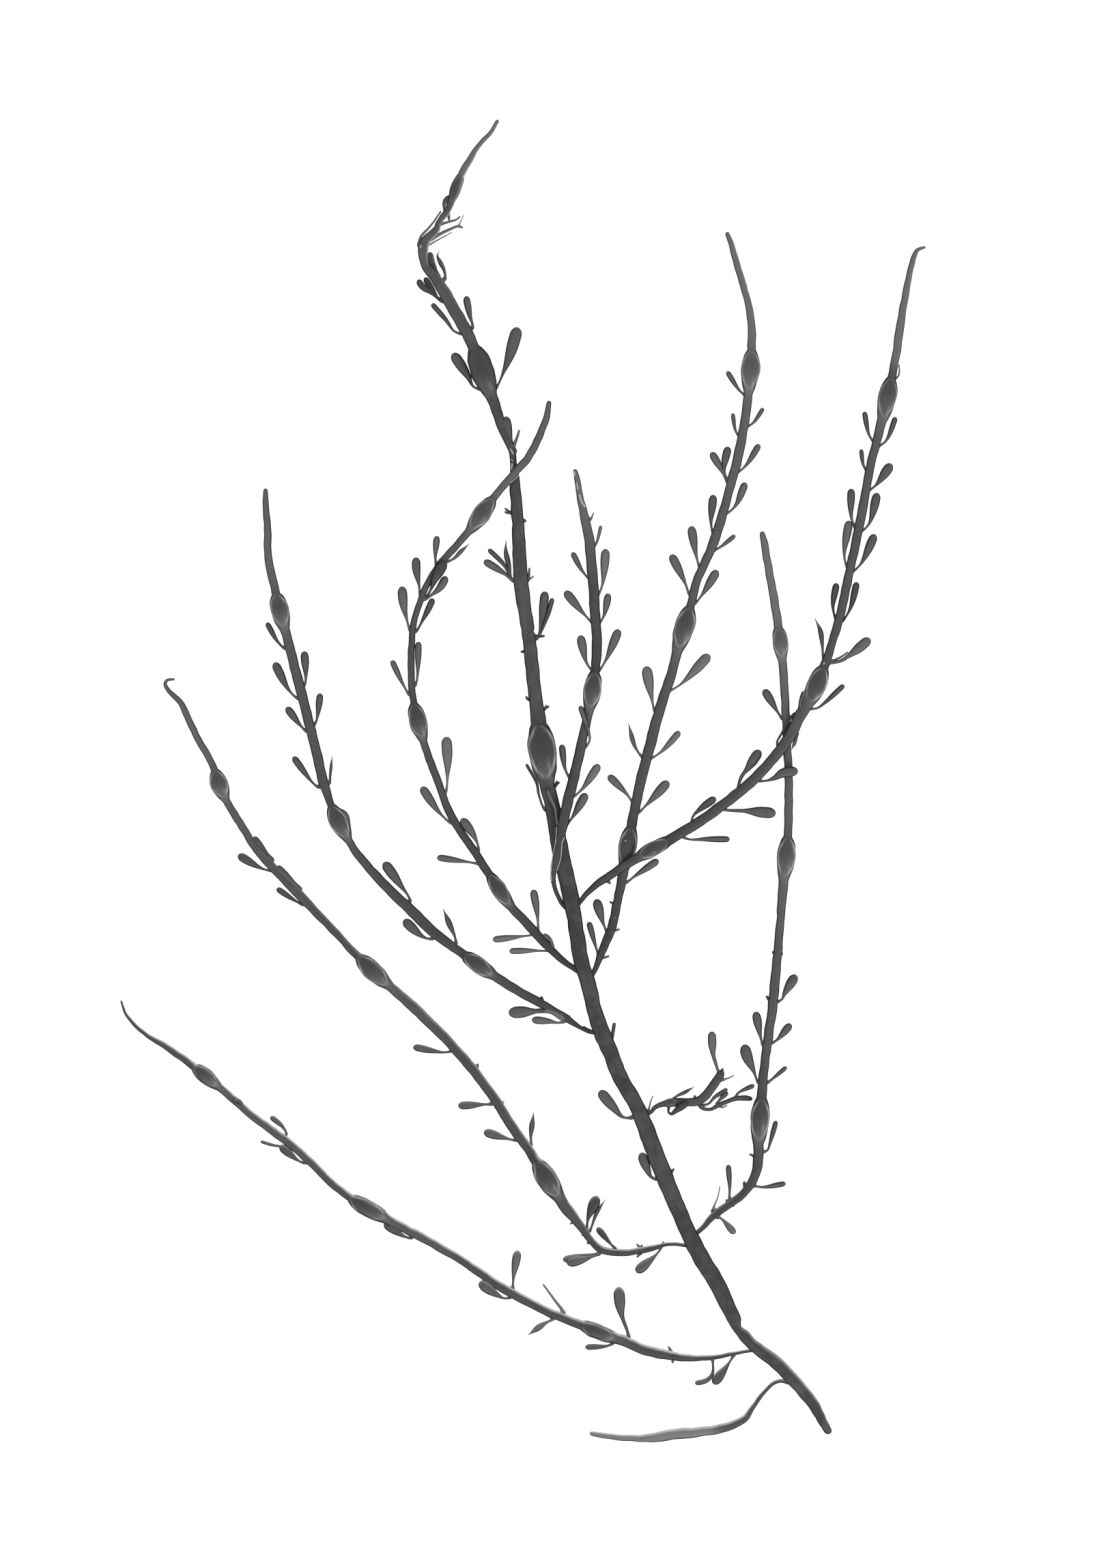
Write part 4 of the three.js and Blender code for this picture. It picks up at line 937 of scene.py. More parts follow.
            blade(2.7, 32.8, -77.7, 31.6, -74, 28.2, -61.9, shade=Shade.PLAIN),
            blade(4.3, 36.4, -66.8, 34.7, -63, 31.4, -51.9, shade=Shade.PLAIN),
            blade(3.3, 44.8, -44.4, 48.5, -41.8, 58.9, -34.7),
            blade(3.5, 47.8, -9.4, 44.7, -5.5, 36.8, 2.5),
            blade(4.3, 50.2, -13.6, 53.5, -10.6, 63.3, -0.1),
            spear(2.2, 51.6, 10.8, 48.6, 15, 45.6, 25.6),
            blade(3, 55.6, 10.2, 60, 12.8, 68.3, 21.8, shade=Shade.PALE),
            blade(4.8, 57.4, 30.6, 55.6, 38, 53.4, 50.5, shade=Shade.PALE),
            blade(4.6, 64, 40, 67, 41.4, 70.5, 44.2, 81.3, 55.6, shade=Shade.PALE),
            blade(4, 72.6, 82.2, 70.4, 87.5, 64.4, 99.6),
            blade(4, 74.8, 78.2, 78, 81.8, 84.8, 92.7),
            blade(4, 77.2, 93.6, 75.5, 99, 73.2, 112.1),
            blade(2.1, 83.2, 101.4, 86.5, 103.2, 92.7, 108.1),
            blade(3.7, 83, 109, 82, 113, 83, 125.9, shade=Shade.PLAIN),
            blade(3.4, 88.8, 117.8, 92.6, 120.9, 97.2, 131.3),
            blade(3.5, 89.2, 131.6, 87, 136, 82.1, 144.6),
            blade(3.6, 89.2, 132.6, 87.7, 137, 89.5, 147.1, shade=Shade.PLAIN),
            blade(2.9, 93.2, 135.6, 97, 138.4, 103.3, 148.1),
            blade(1.9, 94.6, 151.4, 92.8, 154, 91.5, 161.8),
            blade(2, 97.4, 155.6, 100.5, 157.5, 105.1, 164.1),
            blade(2.4, 97.2, 169.4, 94.6, 171.6, 89, 180.2),
            spur(0.9, 39.8, -54.4, 37.2, -53),
            spur(0.9, 39, -65.5, 40.6, -65.6, 41.9, -65),
            spur(0.9, 34.4, -77.6, 36, -77.4, 37.4, -76.9),
        ],
    ),
    Strap(
        name="upper_right_branch",
        route=[
            (22, -56, 1.7), (27.2, -49.4, 2), (30.8, -46, 2.6), (35.3, -42.8, 3.2), (45.2, -36.2, 3.6),
            (50.2, -33.2, 3.9), (63.3, -26, 4.3), (79.8, -15.9, 4.2), (99.6, -0.3, 4.3),
            (109.4, 10.2, 4.2), (116.7, 20.2, 4.7), (121.3, 29.2, 4.7), (124.1, 33.9, 4.8),
            (132.5, 52, 3.6), (134.9, 60, 3.2), (138, 70, 3.7), (142.5, 90, 3.5), (146.7, 110, 3.8),
            (152.5, 140, 3.4), (157.2, 159, 3.9), (161.8, 179.4, 3.2), (163.8, 190, 3.5),
            (165.3, 201, 3.2), (168.7, 220, 2.6), (171.2, 230, 2.1), (172.7, 233.4, 1.4),
            (176.6, 234.9, 0.6),
        ],
        bladders=[(56.7, -29.7, 15, 6.6), (128.3, 42.4, 18, 8.8), (159.4, 168.6, 19, 8.1)],
        humps=[(44, -36, 5.9, 27), (115.6, 19.5, 2.7, 31)],
        folds=[
            fold(0.9, 131.2, 51.3, 131.9, 52.1),
            fold(0.4, 120.9, 32.6, 121.7, 36, 122.9, 39.2),
        ],
        shoots=[
            blade(2.8, 69.8, -24.6, 72.8, -25.7, 79, -25.6, 90.3, -25.6),
            blade(3.4, 73.6, -18.6, 74, -15.6, 77, -12.5, 84, -7.3, shade=Shade.DIM),
            spoon(4.9, 87.6, -12.4, 98, -13.2, 110.5, -14.2),
            spoon(4.4, 94.2, -2.6, 95.2, 1.6, 98.4, 6, 103.5, 13.6),
            raised_blade(2.4, 4.6, 103.4, 0.2, 106.5, 0.2, 110, 1.5, 113.2, 3.4, 120.1, 4.6),
            raised_blade(2.4, 1.4, 111.6, 14.2, 110.9, 17, 113, 21, 117.5, 28.5, 119.6, 30.2),
            blade(1.7, 120.6, 30.6, 121.3, 35, 122.8, 39.5),
            wing(1.7, 120.4, 21.2, 119.2, 17.6, 117.4, 13.6),
            blade(2.4, 125.2, 31.8, 128.5, 32, 131.5, 34, 140.6, 42.3),
            spear(2.3, 131.6, 54, 130.9, 60, 130.1, 66, 127.6, 71.6),
            spoon(4.5, 134, 52, 139, 52.8, 143.2, 55.5, 152, 62.6, shade=Shade.LIGHT),
            blade(3.1, 136.8, 71.8, 135.6, 76.5, 137.2, 87.1, shade=Shade.DARK),
            blade(3.1, 139.6, 70.4, 143.1, 75.6, 146.2, 87.5, shade=Shade.DARK),
            blade(3.8, 142, 94, 140.6, 99, 142.7, 114.5, shade=Shade.LIGHT),
            blade(4, 144, 92, 147.8, 95.4, 154.1, 108.5),
            blade(3.5, 145.4, 111.6, 143.8, 115.5, 143.6, 128.6),
            blade(4, 147.8, 109.8, 151.3, 112.8, 155.2, 126.7),
            blade(4.4, 151, 127.6, 154.2, 129.8, 161.4, 139.5),
            blade(2, 150.8, 136, 149, 139, 148, 146),
            blade(2.5, 155.2, 147, 159, 149.7, 163.3, 160.1),
            blade(2.4, 153.8, 148.8, 151.6, 152, 149.4, 162.5),
            hair(1.2, 134.6, 52.8, 139, 54.5, 142.3, 56.8),
            hair(1, 162.2, 176.4, 164.6, 178.5, 164.8, 183.3),
            spur(0.9, 36.8, -44.2, 37.9, -45.3),
        ],
    ),
    Strap(
        name="upper_inner_branch",
        node_rise=0.5,
        shade=Shade.LIGHT,
        tip_reach=55.0,
        route=[
            (19.8, -57, 1.8), (16.6, -54, 1.6), (14.5, -50, 1.5), (12.9, -46, 1.6), (12.4, -42, 2),
            (13.2, -37, 3), (14, -33.5, 3.6), (14.7, -30, 3.3), (15.1, -27, 3), (15.8, -24.5, 3.3),
            (16.6, -20, 4.2), (18.7, -10, 4.3), (23.7, 10, 4), (26.9, 25, 3.7), (28.3, 31, 4),
            (31, 48.6, 3.7), (31.7, 60, 4.1), (31, 74, 4.2), (28.6, 104, 4.2), (26.4, 116, 3.7),
            (24.1, 126, 2.6), (22.9, 134, 2.1), (22, 137.3, 1.2),
        ],
        bladders=[(29.8, 40.4, 17, 7.9)],
        humps=[(14.7, -24.5, 4.6, 31)],
        folds=[
            fold(0.5, 14, -39.6, 15, -36.5, 15.9, -33.5, 16.2, -30, 16.5, -27, 17.6, -24.4),
            fold(0.5, 11.9, -44, 11.5, -41, 11.8, -37, 12.4, -32.6, 13.2, -29, 13.8, -25.5, 14.1, -20),
            fold(0.8, 21.8, 136.4, 22, 134.2),
            fold(0.6, 22.9, 131.4, 23.4, 128),
            fold(0.9, 24, 126.2, 25, 123, 26.6, 120.4),
        ],
        shoots=[
            raised_blade(4.7, 1.8, 14.6, -18.8, 13.7, -15, 13.4, -12, 11.6, -8, 9.9, -3.9, shade=Shade.PALE),
            blade(3, 19.6, 2, 17.9, 5, 16.3, 16.1),
            blade(3.8, 21.4, -6.6, 25, -3.8, 32.8, 7.3, shade=Shade.PALE),
            blade(4, 18, -19.6, 20.8, -16.2, 27.2, -5.4),
            raised_blade(2.4, 2.4, 26.6, 15, 28.6, 18, 28, 22, 24.3, 33.1),
            fork(0.9, 25.1, 30.5, 26.6, 26.4, 27.6, 23, rise=3.2),
            blade(4, 29.8, 48.6, 27.4, 51.6, 24.4, 64.1),
            blade(4, 32.6, 48.6, 35.5, 52.8, 41.5, 66.7),
            blade(4, 29.6, 70, 26.2, 73.3, 17.7, 83.5),
            blade(3.3, 32.8, 69.6, 34.8, 72.6, 36.9, 82.5),
            blade(4, 32, 81.6, 34.1, 86, 35.7, 102.1, shade=Shade.PALE),
            blade(2.6, 28.6, 89, 25.6, 92, 20.9, 100.6),
            blade(1.6, 30.5, 103.4, 31.7, 105, 33.6, 112.4, shade=Shade.PALE),
            hair(0.8, 29, 115.3, 30.5, 118.3),
        ],
    ),
]


def linear(code: str) -> tuple[float, float, float, float]:
    """Turn an sRGB hex colour into linear values.

    Args:
        code: Six hex digits.

    Returns:
        Linear red, green and blue, and an alpha of 1.
    """
    shares = [int(code[place:place + 2], 16) / 255.0 for place in (0, 2, 4)]
    red, green, blue = (
        share / 12.92 if share <= 0.04045 else ((share + 0.055) / 1.055) ** 2.4 for share in shares
    )
    return (red, green, blue, 1.0)


def per_metre(size: float) -> float:
    """Give the scale of a pattern whose features are a size in millimetres across."""
    return 1.0 / (size * MM)


def in_metres(limits: tuple[float, float]) -> tuple[float, float]:
    """Turn two limits from millimetres into metres."""
    return (limits[0] * MM, limits[1] * MM)


def add_node(
    tree: bpy.types.NodeTree, kind: str, inputs: dict[Any, Any], **settings: Any
) -> bpy.types.Node:
    """Add a node with its settings, values and links.

    Args:
        tree: Node tree that the node joins.
        kind: Blender's name for the kind of node.
        inputs: Values for its inputs, by name or number; a socket is linked.
        settings: Properties of the node.

    Returns:
        The new node.
    """
    node = tree.nodes.new(kind)
    for setting, value in settings.items():
        setattr(node, setting, value)
    for key, value in inputs.items():
        if isinstance(value, bpy.types.NodeSocket):
            tree.links.new(value, node.inputs[key])
        else:
            node.inputs[key].default_value = value
    return node


@dataclass(frozen=True)
class Tissue:
    """Leathery frond tissue, dried and pressed: satin, near black where thick, paler where thin.

    Attributes:
        name: The material's name.
        body: Colour of the flat surface.
        patch: Colour of its paler patches.
        thin: Colour of thin stretches and tips.
        crown: Colour of a bladder's crown.
        rim_highlight: Colour of the painted highlight just inside a bladder's margin.
        margin: Colour of the painted shade along every margin, at a bladder's tip end and on margins turned
            from the light, and of the scars of shed shoots.
        painted_edge_light: Colour of the painted light on margins that face the tip low down and face right
            high up.
        roughness: Least and greatest roughness of the skin.
        bladder_roughness: Roughness of a bladder's tight skin.
        patch_size: Size of the patches, in millimetres.
        grain_size: Size of the skin's grain, in millimetres.
        streak_length: Length of the streaks along the strap, in millimetres.
        margin_shade_band: Distances from the margin between which the painted margin shade fades, in
            millimetres.
        rim_rise: Squared shares of a bladder's egg shape between which its painted highlight begins.
        rim_fall: Squared shares of the egg shape between which the painted highlight ends.
        rim_reach: Places along a bladder between which the painted highlight gains its full strength.
        rims_end: y where bladders' painted highlights begin to fade and where they are gone, in millimetres.
        edge_light_share: Greatest share of painted edge light.
        edge_light_reach: y of the slanting lines where the painted edge light is full and where it ends, in
            millimetres.
        right_edge_light_reach: y where the upper frond's painted light on margins that face right begins and
            where it is full, in millimetres.
        edge_light_width: Distances from the margin between which the painted edge light fades, in
            millimetres.
        scars: Share of dark in the scars of shed shoots.
        bump_depth: Depth of the skin's relief, in millimetres.
    """

    name: str
    body: str
    patch: str
    thin: str
    crown: str
    rim_highlight: str
    margin: str
    painted_edge_light: str = "D8D8D8"
    roughness: tuple[float, float] = (0.5, 0.7)
    bladder_roughness: float = 0.36
    patch_size: float = 14.0
    grain_size: float = 0.7
    streak_length: float = 18.0
    margin_shade_band: tuple[float, float] = (0.32, 0.68)
    rim_rise: tuple[float, float] = (0.55, 0.88)
    rim_fall: tuple[float, float] = (0.9, 1.1)
    rim_reach: tuple[float, float] = (-1.1, -0.2)
    rims_end: tuple[float, float] = (300.0, 400.0)
    edge_light_share: float = 0.9
    edge_light_reach: tuple[float, float] = (-200.0, -80.0)
    right_edge_light_reach: tuple[float, float] = (195.0, 260.0)
    edge_light_width: tuple[float, float] = (0.25, 2.0)
    scars: float = 0.0
    bump_depth: float = 0.04

    def material(self) -> bpy.types.Material:
        """Build the material from the tissue's measures.

        Returns:
            The finished material.
        """
        made = bpy.data.materials.new(self.name)
        made.use_nodes = True
        tree = made.node_tree
        tree.nodes.clear()

        def ramp(value: Any, start: float, end: float, first: float, last: float) -> bpy.types.NodeSocket:
            """Ease one value into another between two limits."""
            limits = {0: value, 1: start, 2: end, 3: first, 4: last}
            return add_node(tree, "ShaderNodeMapRange", limits, interpolation_type="SMOOTHSTEP").outputs[0]

        def total(first: Any, second: Any) -> bpy.types.NodeSocket:
            """Add two values."""
            return add_node(tree, "ShaderNodeMath", {0: first, 1: second}, operation="ADD").outputs[0]

        def product(first: Any, *others: Any) -> bpy.types.NodeSocket:
            """Multiply values."""
            for other in others:
                pair = {0: first, 1: other}
                first = add_node(tree, "ShaderNodeMath", pair, operation="MULTIPLY").outputs[0]
            return first

        def blend(share: Any, under: Any, over: str) -> bpy.types.NodeSocket:
            """Lay a colour over what is there by a share."""
            layers = {MIX_FACTOR: share, MIX_UNDER: under, MIX_OVER: linear(over)}
            return add_node(tree, "ShaderNodeMix", layers, data_type="RGBA").outputs[MIX_RESULT]

        def noise(where: Any, scale: float, detail: float) -> bpy.types.NodeSocket:
            """Draw a cloudy pattern."""
            pattern = {"Vector": where, "Scale": scale, "Detail": detail}
            return add_node(tree, "ShaderNodeTexNoise", pattern).outputs["Fac"]

        place = add_node(tree, "ShaderNodeTexCoord", {}).outputs["Object"]
        facing = add_node(tree, "ShaderNodeNewGeometry", {}).outputs["Normal"]
        sideways, height, _ = add_node(tree, "ShaderNodeSeparateXYZ", {0: place}).outputs
        rightward, tipward, _ = add_node(tree, "ShaderNodeSeparateXYZ", {0: facing}).outputs
        edge, along, across, fullness, station, paleness = (
            add_node(tree, "ShaderNodeAttribute", {}, attribute_name=name).outputs["Fac"]
            for name in ("edge", "along", "across", "fullness", "station", "paleness")
        )

        # Uneven drying leaves cloudy patches, fine streaks along the strap and a leathery grain.
        strip = add_node(tree, "ShaderNodeCombineXYZ", {
            "X": product(along, 1.0 / self.streak_length), "Y": product(across, STREAKS_ACROSS),
        }).outputs[0]
        cloud = noise(place, per_metre(self.patch_size), detail=3.0)
        grain = noise(place, per_metre(self.grain_size), detail=2.0)
        streak = noise(strip, 1.0, detail=2.0)
        scar = noise(strip, SCARS_PER_STREAK, detail=0.0)

        # Thick tissue is dark, thin tissue is paler, and shed shoots leave a few small dark scars.
        colour = blend(ramp(cloud, *PATCH_RUN), linear(self.body), self.patch)
        colour = blend(paleness, colour, self.thin)
        colour = blend(ramp(scar, *SCAR_LIMITS, 0.0, self.scars), colour, self.margin)

        # A bladder's dark crown is egg-shaped, in a broken band of painted highlight that fades towards both
        # ends.
        inflated = ramp(fullness, *BLADDER_RUN)
        colour = blend(product(inflated, ramp(paleness, *CROWN_ON_PALE)), colour, self.crown)
        egg = total(product(station, station), product(across, across))
        rim_highlight = product(
            inflated,
            ramp(egg, *self.rim_rise, 0.0, 1.0),
            ramp(egg, *self.rim_fall, 1.0, 0.0),
            ramp(station, *self.rim_reach, 0.0, 1.0),
            ramp(station, *RIM_AT_TIP),
            ramp(height, *in_metres(self.rims_end), 1.0, 0.0),
            ramp(streak, *RIM_GAPS),
        )
        colour = blend(rim_highlight, colour, self.rim_highlight)

        # Painted shade darkens the shoulder at a bladder's tip end, and a thin band along every margin, where
        # the sides turn away from the light.
        tip_shoulder_shade = product(
            ramp(egg, *SHOULDER_SHADE_RISE),
            ramp(egg, *SHOULDER_SHADE_FALL),
            ramp(fullness, *SHOULDER_SHADE_ON_BLADDER),
            ramp(station, *SHOULDER_SHADE_AT_TIP),
        )
        colour = blend(tip_shoulder_shade, colour, self.margin)
        margin_shade = product(
            ramp(edge, *self.margin_shade_band, 1.0, 0.0),
            ramp(paleness, *MARGIN_SHADE_ON_PALE),
            ramp(fullness, *MARGIN_SHADE_ON_BLADDER),
        )
        colour = blend(margin_shade, colour, self.margin)

        # Low on the left, painted light pales the margins that face the tip, and painted shade darkens those
        # that face away.
        near_margin = ramp(edge, *self.edge_light_width, 1.0, 0.0)
        flat = ramp(fullness, *EDGE_LIGHT_ON_BLADDER)
        slanting = total(height, product(sideways, EDGE_LIGHT_SLANT))
        low_down = product(ramp(slanting, *in_metres(self.edge_light_reach), 1.0, 0.0), near_margin)
        colour = blend(product(ramp(tipward, *SHADED_SIDE), low_down), colour, self.margin)
        painted_edge_light = ramp(tipward, *LIT_SIDE, 0.0, self.edge_light_share)
        colour = blend(product(painted_edge_light, flat, low_down), colour, self.painted_edge_light)

        # High on the frond, painted light pales the margins that face right.
        high_up = product(ramp(height, *in_metres(self.right_edge_light_reach), 0.0, 1.0), near_margin)
        colour = blend(product(ramp(rightward, *RIGHT_LIT_SIDE), flat, high_up), colour, self.painted_edge_light)
        mottle = product(ramp(grain, *GRAIN_MOTTLE), ramp(streak, *STREAK_MOTTLE))
        colour = add_node(tree, "ShaderNodeHueSaturation", {"Color": colour, "Value": mottle}).outputs[0]

        # Satin skin, tighter and smoother on a bladder, with the relief of its grain and streaks.
        tightness = add_node(tree, "ShaderNodeMix", {
            "Factor": inflated,
            "A": ramp(cloud, *ROUGHNESS_LIMITS, *self.roughness),
            "B": self.bladder_roughness,
        }).outputs[0]
        bump = add_node(tree, "ShaderNodeBump", {
            "Height": total(grain, streak), "Distance": self.bump_depth * MM, "Strength": RELIEF_STRENGTH,
        }).outputs[0]
        skin = add_node(tree, "ShaderNodeBsdfPrincipled", {
            "Base Color": colour,
            "Roughness": tightness,
            "IOR": SKIN_IOR,
            "Specular IOR Level": SKIN_SHINE,
            "Normal": bump,
        }).outputs[0]
        add_node(tree, "ShaderNodeOutputMaterial", {"Surface": skin})
        return made


# All finishes are greys, as the photograph has no colour.
# The stem is thick and near black, with cloudy patches and the scars of shed shoots.
STEM_TISSUE = Tissue(
    "dried_stem_tissue",
    body="393939", patch="4C4C4C", thin="747474", crown="424242", rim_highlight="C0C0C0", margin="0C0C0C",
    edge_light_share=0.6, edge_light_reach=(-182.0, -165.0), rims_end=(60.0, 150.0), patch_size=7.0, scars=0.6,
)
# Straps are thinner, and paler towards their tips.
STRAP_TISSUE = Tissue(
    "dried_strap_tissue",
    body="373737", patch="434343", thin="707070", crown="464646", rim_highlight="B4B4B4", margin="0E0E0E",
)
# Receptacles are evenly coloured, with softer painted shade along their margins.
RECEPTACLE_TISSUE = Tissue(
    "dried_receptacle_tissue",
    body="383838", patch="464646", thin="727272", crown="5E5E5E", rim_highlight="6E6E6E", margin="121212",
    patch_size=30.0, edge_light_share=0.4, margin_shade_band=(0.32, 0.8),
)
# The lowest branch is bare, and worn paler.
WORN_TISSUE = Tissue(
    "worn_strap_tissue",
    body="444444", patch="525252", thin="787878", crown="5A5A5A", rim_highlight="9C9C9C", margin="141414",
)
# Turned-up margins, tears and specks are bleached nearly white.
FOLD_TISSUE = Tissue(
    "bleached_fold_tissue",
    body="B4B4B4", patch="C4C4C4", thin="C0C0C0", crown="C0C0C0", rim_highlight="C0C0C0", margin="909090",
)


class Sweep:
    """Geometry Nodes tree that sweeps a flattened section along ribbons of tissue."""

    def __init__(self) -> None:
        """Build the tree once, with its sizes as named inputs."""
        self.tree = bpy.data.node_groups.new("tissue_sweep", "GeometryNodeTree")
        tree = self.tree
        for name, direction, kind in (
            ("Ribbons", "INPUT", "NodeSocketGeometry"),
            ("Sides", "INPUT", "NodeSocketInt"),
            ("Strap Squareness", "INPUT", "NodeSocketFloat"),
            ("Bladder Squareness", "INPUT", "NodeSocketFloat"),
            ("Tissue", "INPUT", "NodeSocketMaterial"),
            ("Swept Tissue", "OUTPUT", "NodeSocketGeometry"),
        ):
            tree.interface.new_socket(name, in_out=direction, socket_type=kind)
        sizes = add_node(tree, "NodeGroupInput", {}).outputs

        def math(operation: str, first: Any, second: Any = 0.0) -> bpy.types.NodeSocket:
            """Combine two numbers."""
            return add_node(tree, "ShaderNodeMath", {0: first, 1: second}, operation=operation).outputs[0]

        def vector(operation: str, *values: Any) -> bpy.types.NodeSocket:
            """Combine vectors."""
            given = dict(enumerate(values))
            return add_node(tree, "ShaderNodeVectorMath", given, operation=operation).outputs[0]

        def stored(name: str, kind: str = "FLOAT") -> bpy.types.NodeSocket:
            """Read a measure of the ribbon."""
            reader = add_node(tree, "GeometryNodeInputNamedAttribute", {"Name": name}, data_type=kind)
            return reader.outputs[0]

        def store(geometry: Any, name: str, value: Any, kind: str = "FLOAT") -> bpy.types.NodeSocket:
            """Keep a measure with the geometry."""
            kept = {"Geometry": geometry, "Name": name, "Value": value}
            return add_node(tree, "GeometryNodeStoreNamedAttribute", kept, data_type=kind).outputs[0]

        position = add_node(tree, "GeometryNodeInputPosition", {}).outputs[0]
        tangent = add_node(tree, "GeometryNodeInputTangent", {}).outputs[0]
        path = add_node(tree, "GeometryNodeMeshToCurve", {"Mesh": sizes["Ribbons"]}).outputs[0]
        path = store(path, "centre", position, "FLOAT_VECTOR")
        path = store(path, "heading", tangent, "FLOAT_VECTOR")
        ring = add_node(tree, "GeometryNodeCurvePrimitiveCircle", {
            "Resolution": sizes["Sides"], "Radius": 1.0,
        }).outputs[0]
        ring = store(ring, "outline", position, "FLOAT_VECTOR")
        swept = add_node(tree, "GeometryNodeCurveToMesh", {
            "Curve": path, "Profile Curve": ring, "Fill Caps": True,
        }).outputs[0]

        # The section is an oval that is squarer on a flat strap than on a bladder.
        outline = add_node(tree, "ShaderNodeSeparateXYZ", {0: stored("outline", "FLOAT_VECTOR")}).outputs
        squareness = add_node(tree, "ShaderNodeMix", {
            "Factor": stored("fullness"), "A": sizes["Strap Squareness"], "B": sizes["Bladder Squareness"],
        }).outputs[0]
        power = math("DIVIDE", 2.0, squareness)
        across, up = (
            math("MULTIPLY", math("SIGN", value), math("POWER", math("ABSOLUTE", value), power))
            for value in (outline["X"], outline["Y"])
        )
        side = vector("NORMALIZE", vector("CROSS_PRODUCT", stored("heading", "FLOAT_VECTOR"), UP))
        half_width = stored("half_width")
        sideways = add_node(tree, "ShaderNodeVectorMath", {
            0: side, "Scale": math("MULTIPLY", across, half_width),
        }, operation="SCALE").outputs[0]
        upward = add_node(tree, "ShaderNodeCombineXYZ", {
            "Z": math("MULTIPLY", up, stored("half_thickness")),
        }).outputs[0]
        spot = vector("ADD", stored("centre", "FLOAT_VECTOR"), vector("ADD", sideways, upward))
        swept = add_node(tree, "GeometryNodeSetPosition", {"Geometry": swept, "Position": spot}).outputs[0]

        # Measures that the finishes read: millimetres from the margin, and the share across.
        inward = math("SUBTRACT", 1.0, math("ABSOLUTE", across))
        reach = math("MAXIMUM", math("MULTIPLY", half_width, 1.0 / MM), LINE_HALF_WIDTH)
        swept = store(swept, "edge", math("MULTIPLY", inward, reach))
        swept = store(swept, "across", across)
        for spent in ("centre", "heading", "outline", "half_width", "half_thickness"):
            left_over = {"Geometry": swept, "Name": spent}
            swept = add_node(tree, "GeometryNodeRemoveAttribute", left_over).outputs[0]
        swept = add_node(tree, "GeometryNodeFlipFaces", {"Mesh": swept}).outputs[0]
        swept = add_node(tree, "GeometryNodeSetShadeSmooth", {"Geometry": swept}).outputs[0]
        swept = add_node(tree, "GeometryNodeRealizeInstances", {"Geometry": swept}).outputs[0]
        swept = add_node(tree, "GeometryNodeSetMaterial", {
            "Geometry": swept, "Material": sizes["Tissue"],
        }).outputs[0]
        add_node(tree, "NodeGroupOutput", {"Swept Tissue": swept})

    def piece(
        self, name: str, ribbons: list[Ribbon], tissue: bpy.types.Material, sides: int
    ) -> bpy.types.Object:
        """Sweep ribbons into one plain mesh object.

        Args:
            name: Name of the piece.
            ribbons: Strips of tissue that it is made of.
            tissue: Its finish.
            sides: Points round its section.

        Returns:
            The finished object, at the origin.
        """
        paths = bpy.data.meshes.new(name)
        points = np.vstack([ribbon.centre for ribbon in ribbons]) * MM
        firsts = np.cumsum([0] + [len(ribbon.along) for ribbon in ribbons])
        edges = [(spot, spot + 1) for first, end in zip(firsts, firsts[1:]) for spot in range(first, end - 1)]
        paths.from_pydata(points.tolist(), edges, [])
        for measure, factor in (
            ("along", 1.0), ("fullness", 1.0), ("station", 1.0), ("paleness", 1.0),
            ("width", MM / 2.0), ("thickness", MM / 2.0),
        ):
            stored_name = f"half_{measure}" if factor != 1.0 else measure
            values = np.concatenate([getattr(ribbon, measure) for ribbon in ribbons]) * factor
            kept = paths.attributes.new(stored_name, "FLOAT", "POINT")
            kept.data.foreach_set("value", values.astype(np.float32))
        made = bpy.data.objects.new(name, paths)
        bpy.context.scene.collection.objects.link(made)
        sweep = made.modifiers.new("sweep", "NODES")
        sweep.node_group = self.tree
        sizes = {
            "Sides": sides, "Strap Squareness": STRAP_SQUARENESS, "Bladder Squareness": BLADDER_SQUARENESS,
            "Tissue": tissue,
        }
        for size, value in sizes.items():
            sweep[self.tree.interface.items_tree[size].identifier] = value
        grown = made.evaluated_get(bpy.context.evaluated_depsgraph_get())
        mesh = bpy.data.meshes.new_from_object(grown)
        made.modifiers.clear()
        made.data = mesh
        bpy.data.meshes.remove(paths)
        mesh.name = name
        return made


